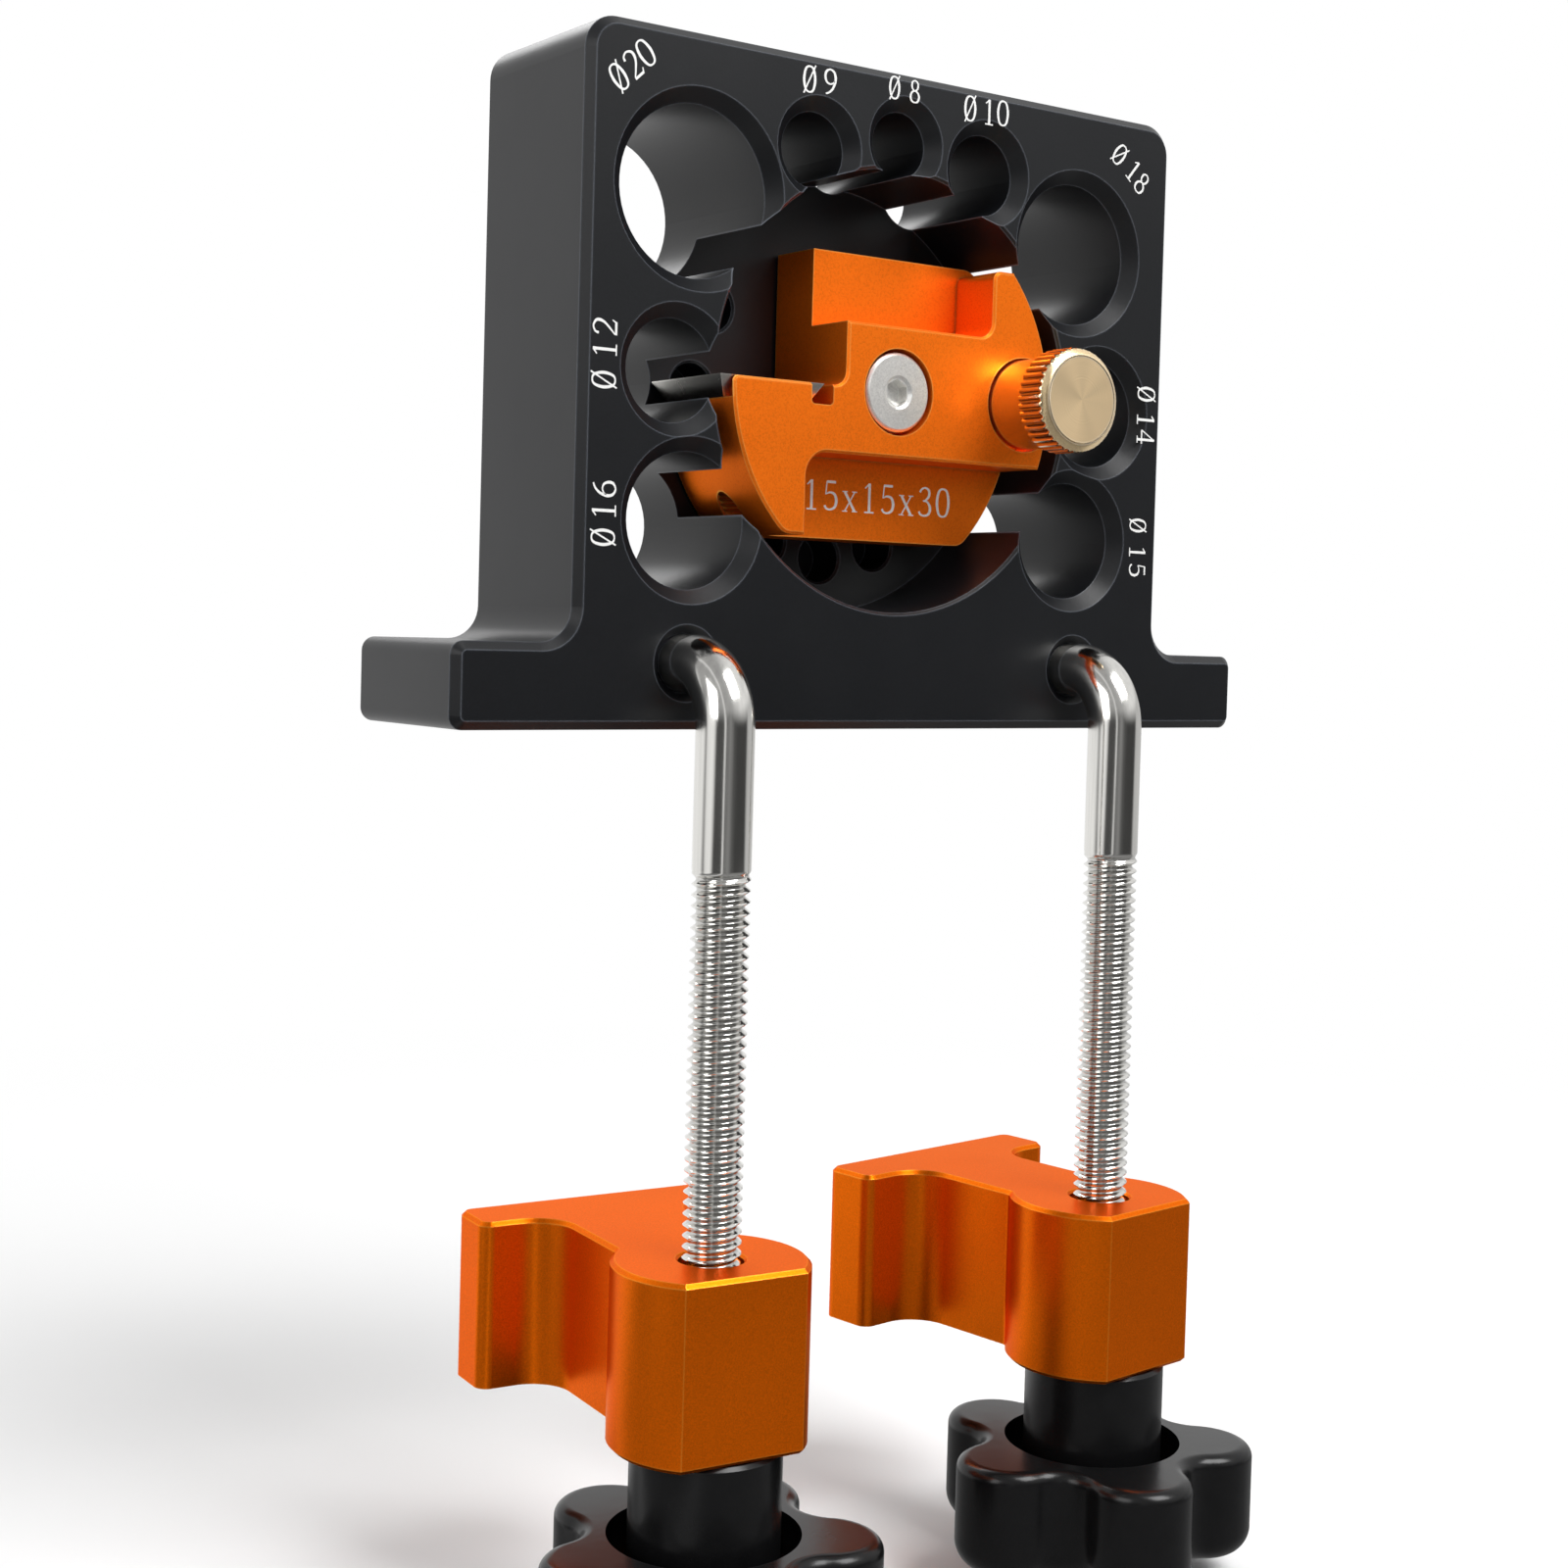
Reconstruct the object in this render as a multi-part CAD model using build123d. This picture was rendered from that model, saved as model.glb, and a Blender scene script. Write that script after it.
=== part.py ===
from build123d import *
import math
import os

# Sizes in mm. X runs along the plate, +Z is up, the numbered front faces -Y.
# The origin is the centre of the base face.

# Gaps between pieces
RUN_GAP = 0.05
THREAD_GAP = 0.04

# The square blade and its countersunk screw
BLADE_SIDE = 15.0
BLADE_THICK = 2.5
BLADE_BEVEL = 30.0
BLADE_PROUD = 0.02
BLADE_BACK_GAP = 0.3
BLADE_HOLE_R = 2.2
SCREW_HEAD_R = 3.6
SCREW_SHANK_R = 2.0
SCREW_END_Z = 12.2
SCREW_SOCKET_AF = 2.5
SCREW_SOCKET_DEPTH = 1.4

# The blade's seat, and how far its edge stands from the pivot
SEAT_END_X = 10.0
SEAT_GAP = 1.2
BLADE_REACH = SEAT_END_X + SEAT_GAP + BLADE_SIDE
LIP_THICK = 0.3
NOTCH_OVER_BLADE = 2.0
NOTCH_LEFT_X = BLADE_REACH - BLADE_SIDE + NOTCH_OVER_BLADE
NOTCH_CORNER_R = 0.5

# The nine gauge bores, each tangent to one circle that the blade's edge sweeps
CUT_GAP = 0.05
TANGENT_R = BLADE_REACH + CUT_GAP
BORE_DIAMETERS = (14.0, 18.0, 10.0, 8.0, 9.0, 20.0, 12.0, 16.0, 15.0)
BORE_ANGLES = (0.0, 35.0, 65.0, 90.0, 115.0, 145.0, 180.0, 210.0, -30.0)
BORE_FRONT_CHAMFER = 1.7
BORE_REAR_CHAMFER = 0.6

# The round pocket in the front of the plate, which the bores break into
POCKET_Z = 41.3
BORE_BREAK = 0.75
POCKET_R = TANGENT_R + BORE_BREAK
POCKET_DEPTH = LIP_THICK + BLADE_SIDE + BLADE_BACK_GAP
POCKET_RIM = 0.35

# The plate and its feet
SIDE_MARGIN = 18.75
TOP_MARGIN = 12.45
PLATE_WIDTH = 2 * (TANGENT_R + SIDE_MARGIN)
PLATE_HEIGHT = POCKET_Z + TANGENT_R + TOP_MARGIN
FLOOR_THICK = 8.4
PLATE_THICK = POCKET_DEPTH + FLOOR_THICK
FOOT_REACH = 15.0
BASE_WIDTH = PLATE_WIDTH + 2 * FOOT_REACH
FOOT_HEIGHT = 9.8
OUTLINE_CHAMFER = 1.0
TOP_CORNER_R = 4.0
INNER_CORNER_R = 4.0
FOOT_CORNER_R = 1.6

# The turning blade holder, measured from its pivot
SWING_GAP = 2.5
HOLDER_R = POCKET_R - SWING_GAP
HOLDER_BACK_GAP = 0.4
HOLDER_THICK = POCKET_DEPTH - HOLDER_BACK_GAP
LOW_CUT = 6.5
HOLDER_BOTTOM = HOLDER_R - LOW_CUT
TOP_CUT = 7.0
HOLDER_TOP = HOLDER_R - TOP_CUT
WALL_SET_BACK = 2.0
HOLDER_WALL_X = SEAT_END_X - WALL_SET_BACK
FLANGE_HALF = 8.0
STEP_DEPTH = HOLDER_THICK / 2
HORN_WIDTH = 9.7
HORN_X = HOLDER_R - HORN_WIDTH
HORN_DROP = 1.0
HORN_TOP = HOLDER_TOP - HORN_DROP
HORN_FILLET = 2.0
HORN_CORNER = 1.2
ARM_TOP = 0.13
ARM_TIP_WIDTH = 10.9
ARM_RECESS_X = HOLDER_R - ARM_TIP_WIDTH
ARM_RECESS_R = 3.0
WALL_FILLET = 1.8
HOLDER_TIP_R = 0.7
HOLDER_LOW_R = 2.5
HOLDER_TOP_R = 3.0
HOLDER_EDGE = 0.3

# Index holes in the pocket floor, one opposite each bore
KNOB_INSET = 4.3
INDEX_CIRCLE_R = HOLDER_R - KNOB_INSET
INDEX_HOLE_DEPTH = 5.5
INDEX_HOLE_CHAMFER = 0.3

# The pivot screw
PIVOT_SHOULDER_R = 4.0
PIVOT_HEAD_RIM = 0.85
PIVOT_HEAD_R = PIVOT_SHOULDER_R + PIVOT_HEAD_RIM
PIVOT_HEAD_H = 4.0
PIVOT_SHOULDER_STEP = 1.0
PIVOT_THREAD_R = PIVOT_SHOULDER_R - PIVOT_SHOULDER_STEP
PIVOT_SOCKET_AF = 3.0
PIVOT_SOCKET_DEPTH = 2.0
PIVOT_SOCKET_MOUTH = 0.36
PIVOT_EDGE = 0.35
HEAD_RING = 0.45
HEAD_UNDER_GAP = 0.2
HEAD_SET_BACK = 0.1

# The knurled index knob and its pin
KNURL_START = 6.1
KNURL_LENGTH = 4.8
KNOB_FACE = KNURL_START + KNURL_LENGTH
KNOB_BARREL_R = 5.65
KNURL_RISE = 0.85
KNOB_R = KNOB_BARREL_R + KNURL_RISE
KNOB_RIM = 0.55
KNOB_SEAT = 0.3
KNOB_RING_GAP = 0.3
KNOB_SEAT_R = KNOB_BARREL_R + KNOB_RING_GAP
KNOB_TRAVEL = 4.0
PIN_R = 3.0
PIN_TIP_GAP = 0.3
PIN_TIP_CHAMFER = 0.5
PIN_CORE_STEP = 1.0
PIN_CORE_R = PIN_R - PIN_CORE_STEP
PIN_CORE_LENGTH = 6.0

# The hook rods
ROD_R = 3.4
ROD_BEND_R = 7.0
ROD_STRAIGHT = 1.3
ROD_INSERT = 14.0
ROD_END_CHAMFER = 0.7

# Holes for the hook rods, low in the front face
ROD_X = 30.0
ROD_Z = 7.7
ROD_HOLE_SPARE = 3.0
ROD_HOLE_DEPTH = ROD_INSERT + ROD_HOLE_SPARE
ROD_HOLE_CHAMFER = 1.05

# The clamp blocks, measured from the rod's axis
CLAMP_TOP_Z = -59.6
CLAMP_HEIGHT = 21.0
CLAMP_STEP = 1.0
CLAMP_BOSS_R = 11.5
CLAMP_FLAT = 8.5
CLAMP_BORE_GAP = 0.4
CLAMP_BORE_R = ROD_R + CLAMP_BORE_GAP
CLAMP_BORE_CHAMFER = 0.3
FINGER_HALF = 8.0
FINGER_OVERHANG = 9.5
FINGER_HEAD_HALF = FINGER_HALF + FINGER_OVERHANG
FINGER_HEAD_START = 24.4
FINGER_HEAD_DEPTH = 7.8
FINGER_END = FINGER_HEAD_START + FINGER_HEAD_DEPTH
FINGER_FILLET = 4.9
FINGER_CORNER_R = 1.6
FINGER_JOINT_R = 1.0
CLAMP_EDGE = 0.5
LEFT_CLAMP_TURN = -5.0
RIGHT_CLAMP_TURN = 7.0

# The sleeves under the blocks
SLEEVE_R = 8.8
SLEEVE_BORE_GAP = 0.5
SLEEVE_BORE_R = ROD_R + SLEEVE_BORE_GAP
SLEEVE_EDGE = 0.4
SLEEVE_SINK = 5.0
SLEEVE_SHOWN = 10.4

# The five-lobed knobs and their inserts
STAR_TOP_Z = CLAMP_TOP_Z - CLAMP_HEIGHT - SLEEVE_SHOWN
STAR_HEIGHT = 14.0
STAR_TIP_R = 20.6
STAR_LOBE_R = 6.6
STAR_WAIST_R = 14.2
STAR_LOBES = 5
STAR_FIRST_ANGLE = 36.0
STAR_TOP_EDGE = 1.6
STAR_LOW_EDGE = 3.6
STAR_RECESS_GAP = 2.4
STAR_RECESS_R = SLEEVE_R + STAR_RECESS_GAP
STAR_HUB_H = 3.0
INSERT_WALL = 2.1
INSERT_R = ROD_R + INSERT_WALL
STAR_HUB_WALL = 3.5
STAR_HUB_R = INSERT_R + STAR_HUB_WALL
INSERT_LENGTH = STAR_HEIGHT + STAR_HUB_H - SLEEVE_SINK
ROD_SHORT_OF_HUB = 2.0
ROD_END_Z = STAR_TOP_Z - STAR_HEIGHT - STAR_HUB_H + ROD_SHORT_OF_HUB

FRONT = -PLATE_THICK / 2
REAR = PLATE_THICK / 2
FLOOR = FRONT + POCKET_DEPTH
LEG_Y = FRONT - ROD_STRAIGHT - ROD_BEND_R
FRONT_PLANE = Plane(origin=(0, FRONT, 0), x_dir=(1, 0, 0), z_dir=(0, -1, 0))
PIVOT_PLANE = Plane(origin=(0, FRONT, POCKET_Z), x_dir=(1, 0, 0), z_dir=(0, -1, 0))


def rod_along_y(x, z, radius, start, end):
    """A round bar along Y between two depths."""
    plane = Plane(origin=(x, start, z), x_dir=(1, 0, 0), z_dir=(0, 1, 0))
    return plane * extrude(Circle(radius), amount=end - start)


def cone_along_y(x, z, first, second, start, end):
    """A cone along Y with one radius at each depth."""
    plane = Plane(origin=(x, (start + end) / 2, z), x_dir=(1, 0, 0), z_dir=(0, 1, 0))
    return plane * Cone(first, second, end - start)


def bar(x, y, radius, low, high):
    """An upright round bar between two heights."""
    return Pos(x, y, low) * extrude(Circle(radius), amount=high - low)


def block(x0, x1, y0, y1, z0, z1):
    """A box between two corners."""
    centre = Pos((x0 + x1) / 2, (y0 + y1) / 2, (z0 + z1) / 2)
    return centre * Box(x1 - x0, y1 - y0, z1 - z0)


def corners_at(shape, *points):
    """The corners of a flat shape nearest to the points named."""
    found = []
    for px, py in points:
        nearest = min(
            shape.vertices(), key=lambda v: math.hypot(v.X - px, v.Y - py)
        )
        found.append(nearest)
    return found


def bore_centres():
    """Each gauge bore's place and radius."""
    places = []
    for diameter, angle in zip(BORE_DIAMETERS, BORE_ANGLES):
        reach = TANGENT_R + diameter / 2
        turn = math.radians(angle)
        x = reach * math.cos(turn)
        z = POCKET_Z + reach * math.sin(turn)
        places.append((x, z, diameter / 2))
    return places


def index_places():
    """The index holes, one opposite each bore."""
    places = []
    for angle in BORE_ANGLES:
        turn = math.radians(angle + 180)
        x = INDEX_CIRCLE_R * math.cos(turn)
        z = POCKET_Z + INDEX_CIRCLE_R * math.sin(turn)
        places.append((x, z))
    return places


# The plate
half_plate = PLATE_WIDTH / 2
half_base = BASE_WIDTH / 2
outline = Polygon(
    (-half_base, 0),
    (half_base, 0),
    (half_base, FOOT_HEIGHT),
    (half_plate, FOOT_HEIGHT),
    (half_plate, PLATE_HEIGHT),
    (-half_plate, PLATE_HEIGHT),
    (-half_plate, FOOT_HEIGHT),
    (-half_base, FOOT_HEIGHT),
    align=None,
)
feet = corners_at(
    outline,
    (-half_base, 0),
    (half_base, 0),
    (half_base, FOOT_HEIGHT),
    (-half_base, FOOT_HEIGHT),
)
outline = fillet(feet, FOOT_CORNER_R)
inner = corners_at(outline, (half_plate, FOOT_HEIGHT), (-half_plate, FOOT_HEIGHT))
outline = fillet(inner, INNER_CORNER_R)
tops = corners_at(outline, (half_plate, PLATE_HEIGHT), (-half_plate, PLATE_HEIGHT))
outline = fillet(tops, TOP_CORNER_R)
plate = FRONT_PLANE * extrude(outline, amount=-PLATE_THICK)
faces = plate.faces().sort_by(Axis.Y)
plate = chamfer(faces[0].edges() + faces[-1].edges(), OUTLINE_CHAMFER)

plate -= rod_along_y(0, POCKET_Z, POCKET_R, FRONT - 1, FLOOR)
plate -= cone_along_y(
    0, POCKET_Z, POCKET_R + POCKET_RIM, POCKET_R, FRONT, FRONT + POCKET_RIM
)
for x, z, radius in bore_centres():
    plate -= rod_along_y(x, z, radius, FRONT - 1, REAR + 1)
    mouth = radius + BORE_FRONT_CHAMFER
    plate -= cone_along_y(x, z, mouth, radius, FRONT, FRONT + BORE_FRONT_CHAMFER)
    back = radius + BORE_REAR_CHAMFER
    plate -= cone_along_y(x, z, radius, back, REAR - BORE_REAR_CHAMFER, REAR)

index_hole_r = PIN_R + RUN_GAP
for x, z in index_places():
    plate -= rod_along_y(x, z, index_hole_r, FLOOR - 1, FLOOR + INDEX_HOLE_DEPTH)
    mouth = index_hole_r + INDEX_HOLE_CHAMFER
    plate -= cone_along_y(x, z, mouth, index_hole_r, FLOOR, FLOOR + INDEX_HOLE_CHAMFER)

pivot_hole_r = PIVOT_THREAD_R + THREAD_GAP
plate -= rod_along_y(0, POCKET_Z, pivot_hole_r, FLOOR - 1, REAR + 1)
pivot_mouth_r = pivot_hole_r + INDEX_HOLE_CHAMFER
plate -= cone_along_y(
    0, POCKET_Z, pivot_hole_r, pivot_mouth_r, REAR - INDEX_HOLE_CHAMFER, REAR
)

rod_hole_r = ROD_R + RUN_GAP
for side in (-1, 1):
    x = side * ROD_X
    plate -= rod_along_y(x, ROD_Z, rod_hole_r, FRONT - 1, FRONT + ROD_HOLE_DEPTH)
    mouth = rod_hole_r + ROD_HOLE_CHAMFER
    plate -= cone_along_y(x, ROD_Z, mouth, rod_hole_r, FRONT, FRONT + ROD_HOLE_CHAMFER)

# The blade holder
REACH = 40.0
lower = Pos(0, (ARM_TOP - HOLDER_BOTTOM) / 2) * Rectangle(
    2 * REACH, ARM_TOP + HOLDER_BOTTOM
)
upper_width = REACH + HOLDER_WALL_X
upper_height = HOLDER_TOP + HOLDER_BOTTOM
upper = Pos(
    (REACH - HOLDER_WALL_X) / 2, (HOLDER_TOP - HOLDER_BOTTOM) / 2
) * Rectangle(upper_width, upper_height)
holder_face = Circle(HOLDER_R) & (lower + upper)
low_x = math.sqrt(HOLDER_R**2 - HOLDER_BOTTOM**2)
top_x = math.sqrt(HOLDER_R**2 - HOLDER_TOP**2)
holder_face = fillet(corners_at(holder_face, (-HOLDER_WALL_X, ARM_TOP)), WALL_FILLET)
holder_face = fillet(corners_at(holder_face, (-HOLDER_R, ARM_TOP)), HOLDER_TIP_R)
low_corners = corners_at(
    holder_face, (-low_x, -HOLDER_BOTTOM), (low_x, -HOLDER_BOTTOM)
)
holder_face = fillet(low_corners, HOLDER_LOW_R)
holder_face = fillet(corners_at(holder_face, (top_x, HOLDER_TOP)), HOLDER_TOP_R)
holder = PIVOT_PLANE * extrude(holder_face, amount=-HOLDER_THICK)

upper_step = Polygon(
    (-REACH, FLANGE_HALF),
    (HORN_X, FLANGE_HALF),
    (HORN_X, HORN_TOP),
    (REACH, HORN_TOP),
    (REACH, REACH),
    (-REACH, REACH),
    align=None,
)
upper_step = fillet(corners_at(upper_step, (HORN_X, FLANGE_HALF)), HORN_FILLET)
upper_step = fillet(corners_at(upper_step, (HORN_X, HORN_TOP)), HORN_CORNER)
lower_step = Polygon(
    (-ARM_RECESS_X, -REACH),
    (REACH, -REACH),
    (REACH, -FLANGE_HALF),
    (-ARM_RECESS_X, -FLANGE_HALF),
    align=None,
)
lower_step = fillet(corners_at(lower_step, (-ARM_RECESS_X, -FLANGE_HALF)), ARM_RECESS_R)
for step in (upper_step, lower_step):
    holder -= PIVOT_PLANE * extrude(step, amount=-STEP_DEPTH)
front_edges = holder.faces().sort_by(Axis.Y)[0].edges()
holder = chamfer(front_edges, HOLDER_EDGE)

# The blade's seat, open behind and at the notch
seat_top = POCKET_Z + ARM_TOP
seat_floor = seat_top + BLADE_PROUD - BLADE_THICK
blade_front = FRONT + LIP_THICK
holder -= block(-REACH, -SEAT_END_X, blade_front, FLOOR, seat_floor, seat_top + 1)
slant = BLADE_THICK * math.tan(math.radians(BLADE_BEVEL))
lip_profile = Plane.YZ * Polygon(
    (blade_front - LIP_THICK / 2, seat_floor),
    (blade_front + slant, seat_floor),
    (blade_front, seat_top - RUN_GAP),
    (blade_front - LIP_THICK / 2, seat_top - RUN_GAP),
    align=None,
)
lip_left = -HOLDER_R + HOLDER_TIP_R + HOLDER_EDGE
lip = Pos(lip_left, 0, 0) * extrude(lip_profile, amount=-NOTCH_LEFT_X - lip_left)
holder += lip
notch_width = NOTCH_LEFT_X - SEAT_END_X
notch_height = seat_top - seat_floor
notch = Pos(-(NOTCH_LEFT_X + SEAT_END_X) / 2, ARM_TOP - notch_height / 2 + 1) * Rectangle(
    notch_width, notch_height + 2
)
notch_low = ARM_TOP - notch_height
notch = fillet(
    corners_at(notch, (-NOTCH_LEFT_X, notch_low), (-SEAT_END_X, notch_low)), NOTCH_CORNER_R
)
holder -= PIVOT_PLANE * extrude(notch, amount=-LIP_THICK - slant)

# Holes for the pivot screw, the index pin and the blade screw
head_hole_r = PIVOT_HEAD_R + HEAD_RING
head_seat = FRONT + HEAD_SET_BACK + PIVOT_HEAD_H + HEAD_UNDER_GAP
holder -= rod_along_y(0, POCKET_Z, head_hole_r, FRONT - 1, head_seat)
holder -= rod_along_y(0, POCKET_Z, PIVOT_SHOULDER_R + RUN_GAP, FRONT, FLOOR)
knob_seat_floor = FRONT + KNOB_SEAT + KNOB_TRAVEL + KNOB_SEAT
holder -= rod_along_y(INDEX_CIRCLE_R, POCKET_Z, KNOB_SEAT_R, FRONT - 1, knob_seat_floor)
holder -= rod_along_y(INDEX_CIRCLE_R, POCKET_Z, PIN_R + RUN_GAP, FRONT, FLOOR)
blade_x = -BLADE_REACH + BLADE_SIDE / 2
blade_y = blade_front + BLADE_SIDE / 2
screw_hole_r = SCREW_SHANK_R + THREAD_GAP
holder -= bar(blade_x, blade_y, screw_hole_r, POCKET_Z - HOLDER_R, POCKET_Z)

# The blade
blade_top = seat_top + BLADE_PROUD
blade = extrude(Rectangle(BLADE_SIDE, BLADE_SIDE), amount=-BLADE_THICK, taper=BLADE_BEVEL)
blade -= bar(0, 0, BLADE_HOLE_R, -BLADE_THICK - 1, 1)
sink_depth = SCREW_HEAD_R - BLADE_HOLE_R
sink = Pos(0, 0, -sink_depth / 2) * Cone(BLADE_HOLE_R, SCREW_HEAD_R, sink_depth)
blade -= sink
blade = Pos(blade_x, blade_y, blade_top) * blade

# The blade screw, its head just under the blade's top
head_top_r = SCREW_HEAD_R - 2 * RUN_GAP
head_height = head_top_r - SCREW_SHANK_R
screw_head = Pos(0, 0, -RUN_GAP - head_height / 2) * Cone(
    SCREW_SHANK_R, head_top_r, head_height
)
blade_screw = screw_head + bar(0, 0, SCREW_SHANK_R, -SCREW_END_Z, -head_height)
socket = RegularPolygon(SCREW_SOCKET_AF / 2, 6, major_radius=False)
blade_screw -= Pos(0, 0, -SCREW_SOCKET_DEPTH) * extrude(socket, amount=SCREW_SOCKET_DEPTH)
blade_screw = Pos(blade_x, blade_y, blade_top) * blade_screw

# The pivot screw
head_front = FRONT + HEAD_SET_BACK
head_back = head_front + PIVOT_HEAD_H
head = rod_along_y(0, POCKET_Z, PIVOT_HEAD_R, head_front, head_back)
head = chamfer(head.faces().sort_by(Axis.Y)[0].edges(), PIVOT_EDGE)
pivot_screw = head + rod_along_y(0, POCKET_Z, PIVOT_SHOULDER_R, head_back, FLOOR)
thread_end = REAR - INDEX_HOLE_CHAMFER
pivot_screw += rod_along_y(0, POCKET_Z, PIVOT_THREAD_R, FLOOR, thread_end)
key = RegularPolygon(PIVOT_SOCKET_AF / 2, 6, major_radius=False, rotation=30)
key_plane = Plane(origin=(0, head_front, POCKET_Z), x_dir=(1, 0, 0), z_dir=(0, 1, 0))
pivot_screw -= key_plane * extrude(key, amount=PIVOT_SOCKET_DEPTH)
key_corner_r = PIVOT_SOCKET_AF / math.sqrt(3)
key_mouth_r = key_corner_r + PIVOT_SOCKET_MOUTH
pivot_screw -= cone_along_y(
    0, POCKET_Z, key_mouth_r, key_corner_r, head_front, head_front + PIVOT_SOCKET_MOUTH
)

# The index knob, a turned brass grip on a steel pin
knob_face = FRONT - KNOB_FACE
grip = rod_along_y(INDEX_CIRCLE_R, POCKET_Z, KNOB_R, knob_face, FRONT - KNURL_START)
grip = chamfer(grip.faces().sort_by(Axis.Y)[0].edges(), KNOB_RIM)
barrel_end = FRONT + KNOB_SEAT
index_knob = grip + rod_along_y(
    INDEX_CIRCLE_R, POCKET_Z, KNOB_BARREL_R, FRONT - KNURL_START, barrel_end
)
core_start = barrel_end - PIN_CORE_LENGTH
index_knob -= rod_along_y(
    INDEX_CIRCLE_R, POCKET_Z, PIN_CORE_R + RUN_GAP, core_start - RUN_GAP, barrel_end
)
pin_tip = FLOOR - PIN_TIP_GAP
pin_head = rod_along_y(
    INDEX_CIRCLE_R, POCKET_Z, PIN_R, barrel_end + RUN_GAP, pin_tip
)
pin_head = chamfer(pin_head.faces().sort_by(Axis.Y)[-1].edges(), PIN_TIP_CHAMFER)
index_pin = pin_head + rod_along_y(
    INDEX_CIRCLE_R, POCKET_Z, PIN_CORE_R, core_start, barrel_end + RUN_GAP
)


def hook_rod(x):
    """A rod bent through a right angle, its short leg in the plate."""
    bend_top = ROD_Z - ROD_BEND_R
    short_leg = rod_along_y(x, ROD_Z, ROD_R, FRONT - ROD_STRAIGHT, FRONT + ROD_INSERT)
    short_leg = chamfer(
        short_leg.faces().sort_by(Axis.Y)[-1].edges(), ROD_END_CHAMFER
    )
    elbow_face = Plane(
        origin=(x, FRONT - ROD_STRAIGHT, ROD_Z), x_dir=(1, 0, 0), z_dir=(0, -1, 0)
    ) * Circle(ROD_R)
    elbow = revolve(
        elbow_face,
        axis=Axis((x, FRONT - ROD_STRAIGHT, bend_top), (1, 0, 0)),
        revolution_arc=90,
    )
    long_leg = bar(x, LEG_Y, ROD_R, ROD_END_Z, bend_top)
    long_leg = chamfer(long_leg.faces().sort_by(Axis.Z)[0].edges(), ROD_END_CHAMFER)
    return short_leg + elbow + long_leg


def clamp_block(x, turn):
    """A round boss with a flat front and a finger that reaches back."""
    boss = Circle(CLAMP_BOSS_R) - Pos(0, -CLAMP_FLAT - CLAMP_BOSS_R) * Rectangle(
        2 * CLAMP_BOSS_R, 2 * CLAMP_BOSS_R
    )
    finger = Polygon(
        (-FINGER_HALF, 0),
        (FINGER_HALF, 0),
        (FINGER_HALF, FINGER_HEAD_START),
        (FINGER_HEAD_HALF, FINGER_HEAD_START),
        (FINGER_HEAD_HALF, FINGER_END),
        (-FINGER_HEAD_HALF, FINGER_END),
        (-FINGER_HEAD_HALF, FINGER_HEAD_START),
        (-FINGER_HALF, FINGER_HEAD_START),
        align=None,
    )
    neck = corners_at(
        finger, (FINGER_HALF, FINGER_HEAD_START), (-FINGER_HALF, FINGER_HEAD_START)
    )
    finger = fillet(neck, FINGER_FILLET)
    ends = corners_at(
        finger,
        (FINGER_HEAD_HALF, FINGER_HEAD_START),
        (FINGER_HEAD_HALF, FINGER_END),
        (-FINGER_HEAD_HALF, FINGER_END),
        (-FINGER_HEAD_HALF, FINGER_HEAD_START),
    )
    finger = fillet(ends, FINGER_CORNER_R)
    plan = boss + finger
    joint_y = math.sqrt(CLAMP_BOSS_R**2 - FINGER_HALF**2)
    joints = corners_at(plan, (FINGER_HALF, joint_y), (-FINGER_HALF, joint_y))
    plan = fillet(joints, FINGER_JOINT_R)
    step = CLAMP_HEIGHT - CLAMP_STEP
    top = extrude(plan, amount=-step)
    low = Pos(0, 0, -step) * extrude(boss, amount=-CLAMP_STEP)
    body = top + low
    body = chamfer(body.faces().sort_by(Axis.Z)[-1].edges(), CLAMP_EDGE)
    body = chamfer(body.faces().sort_by(Axis.Z)[0].edges(), CLAMP_EDGE)
    body -= bar(0, 0, CLAMP_BORE_R, -CLAMP_HEIGHT - 1, 1)
    mouth = CLAMP_BORE_R + CLAMP_BORE_CHAMFER
    rim = Cone(CLAMP_BORE_R, mouth, CLAMP_BORE_CHAMFER)
    body -= Pos(0, 0, -CLAMP_BORE_CHAMFER / 2) * rim
    return Pos(x, LEG_Y, CLAMP_TOP_Z) * Rot(0, 0, turn) * body


def knob_sleeve(x):
    """The plain tube between a block and its knob."""
    high = CLAMP_TOP_Z - CLAMP_HEIGHT - RUN_GAP
    low = STAR_TOP_Z - SLEEVE_SINK + RUN_GAP
    tube = bar(x, LEG_Y, SLEEVE_R, low, high)
    tube = chamfer(tube.edges(), SLEEVE_EDGE)
    return tube - bar(x, LEG_Y, SLEEVE_BORE_R, low - 1, high + 1)


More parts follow.
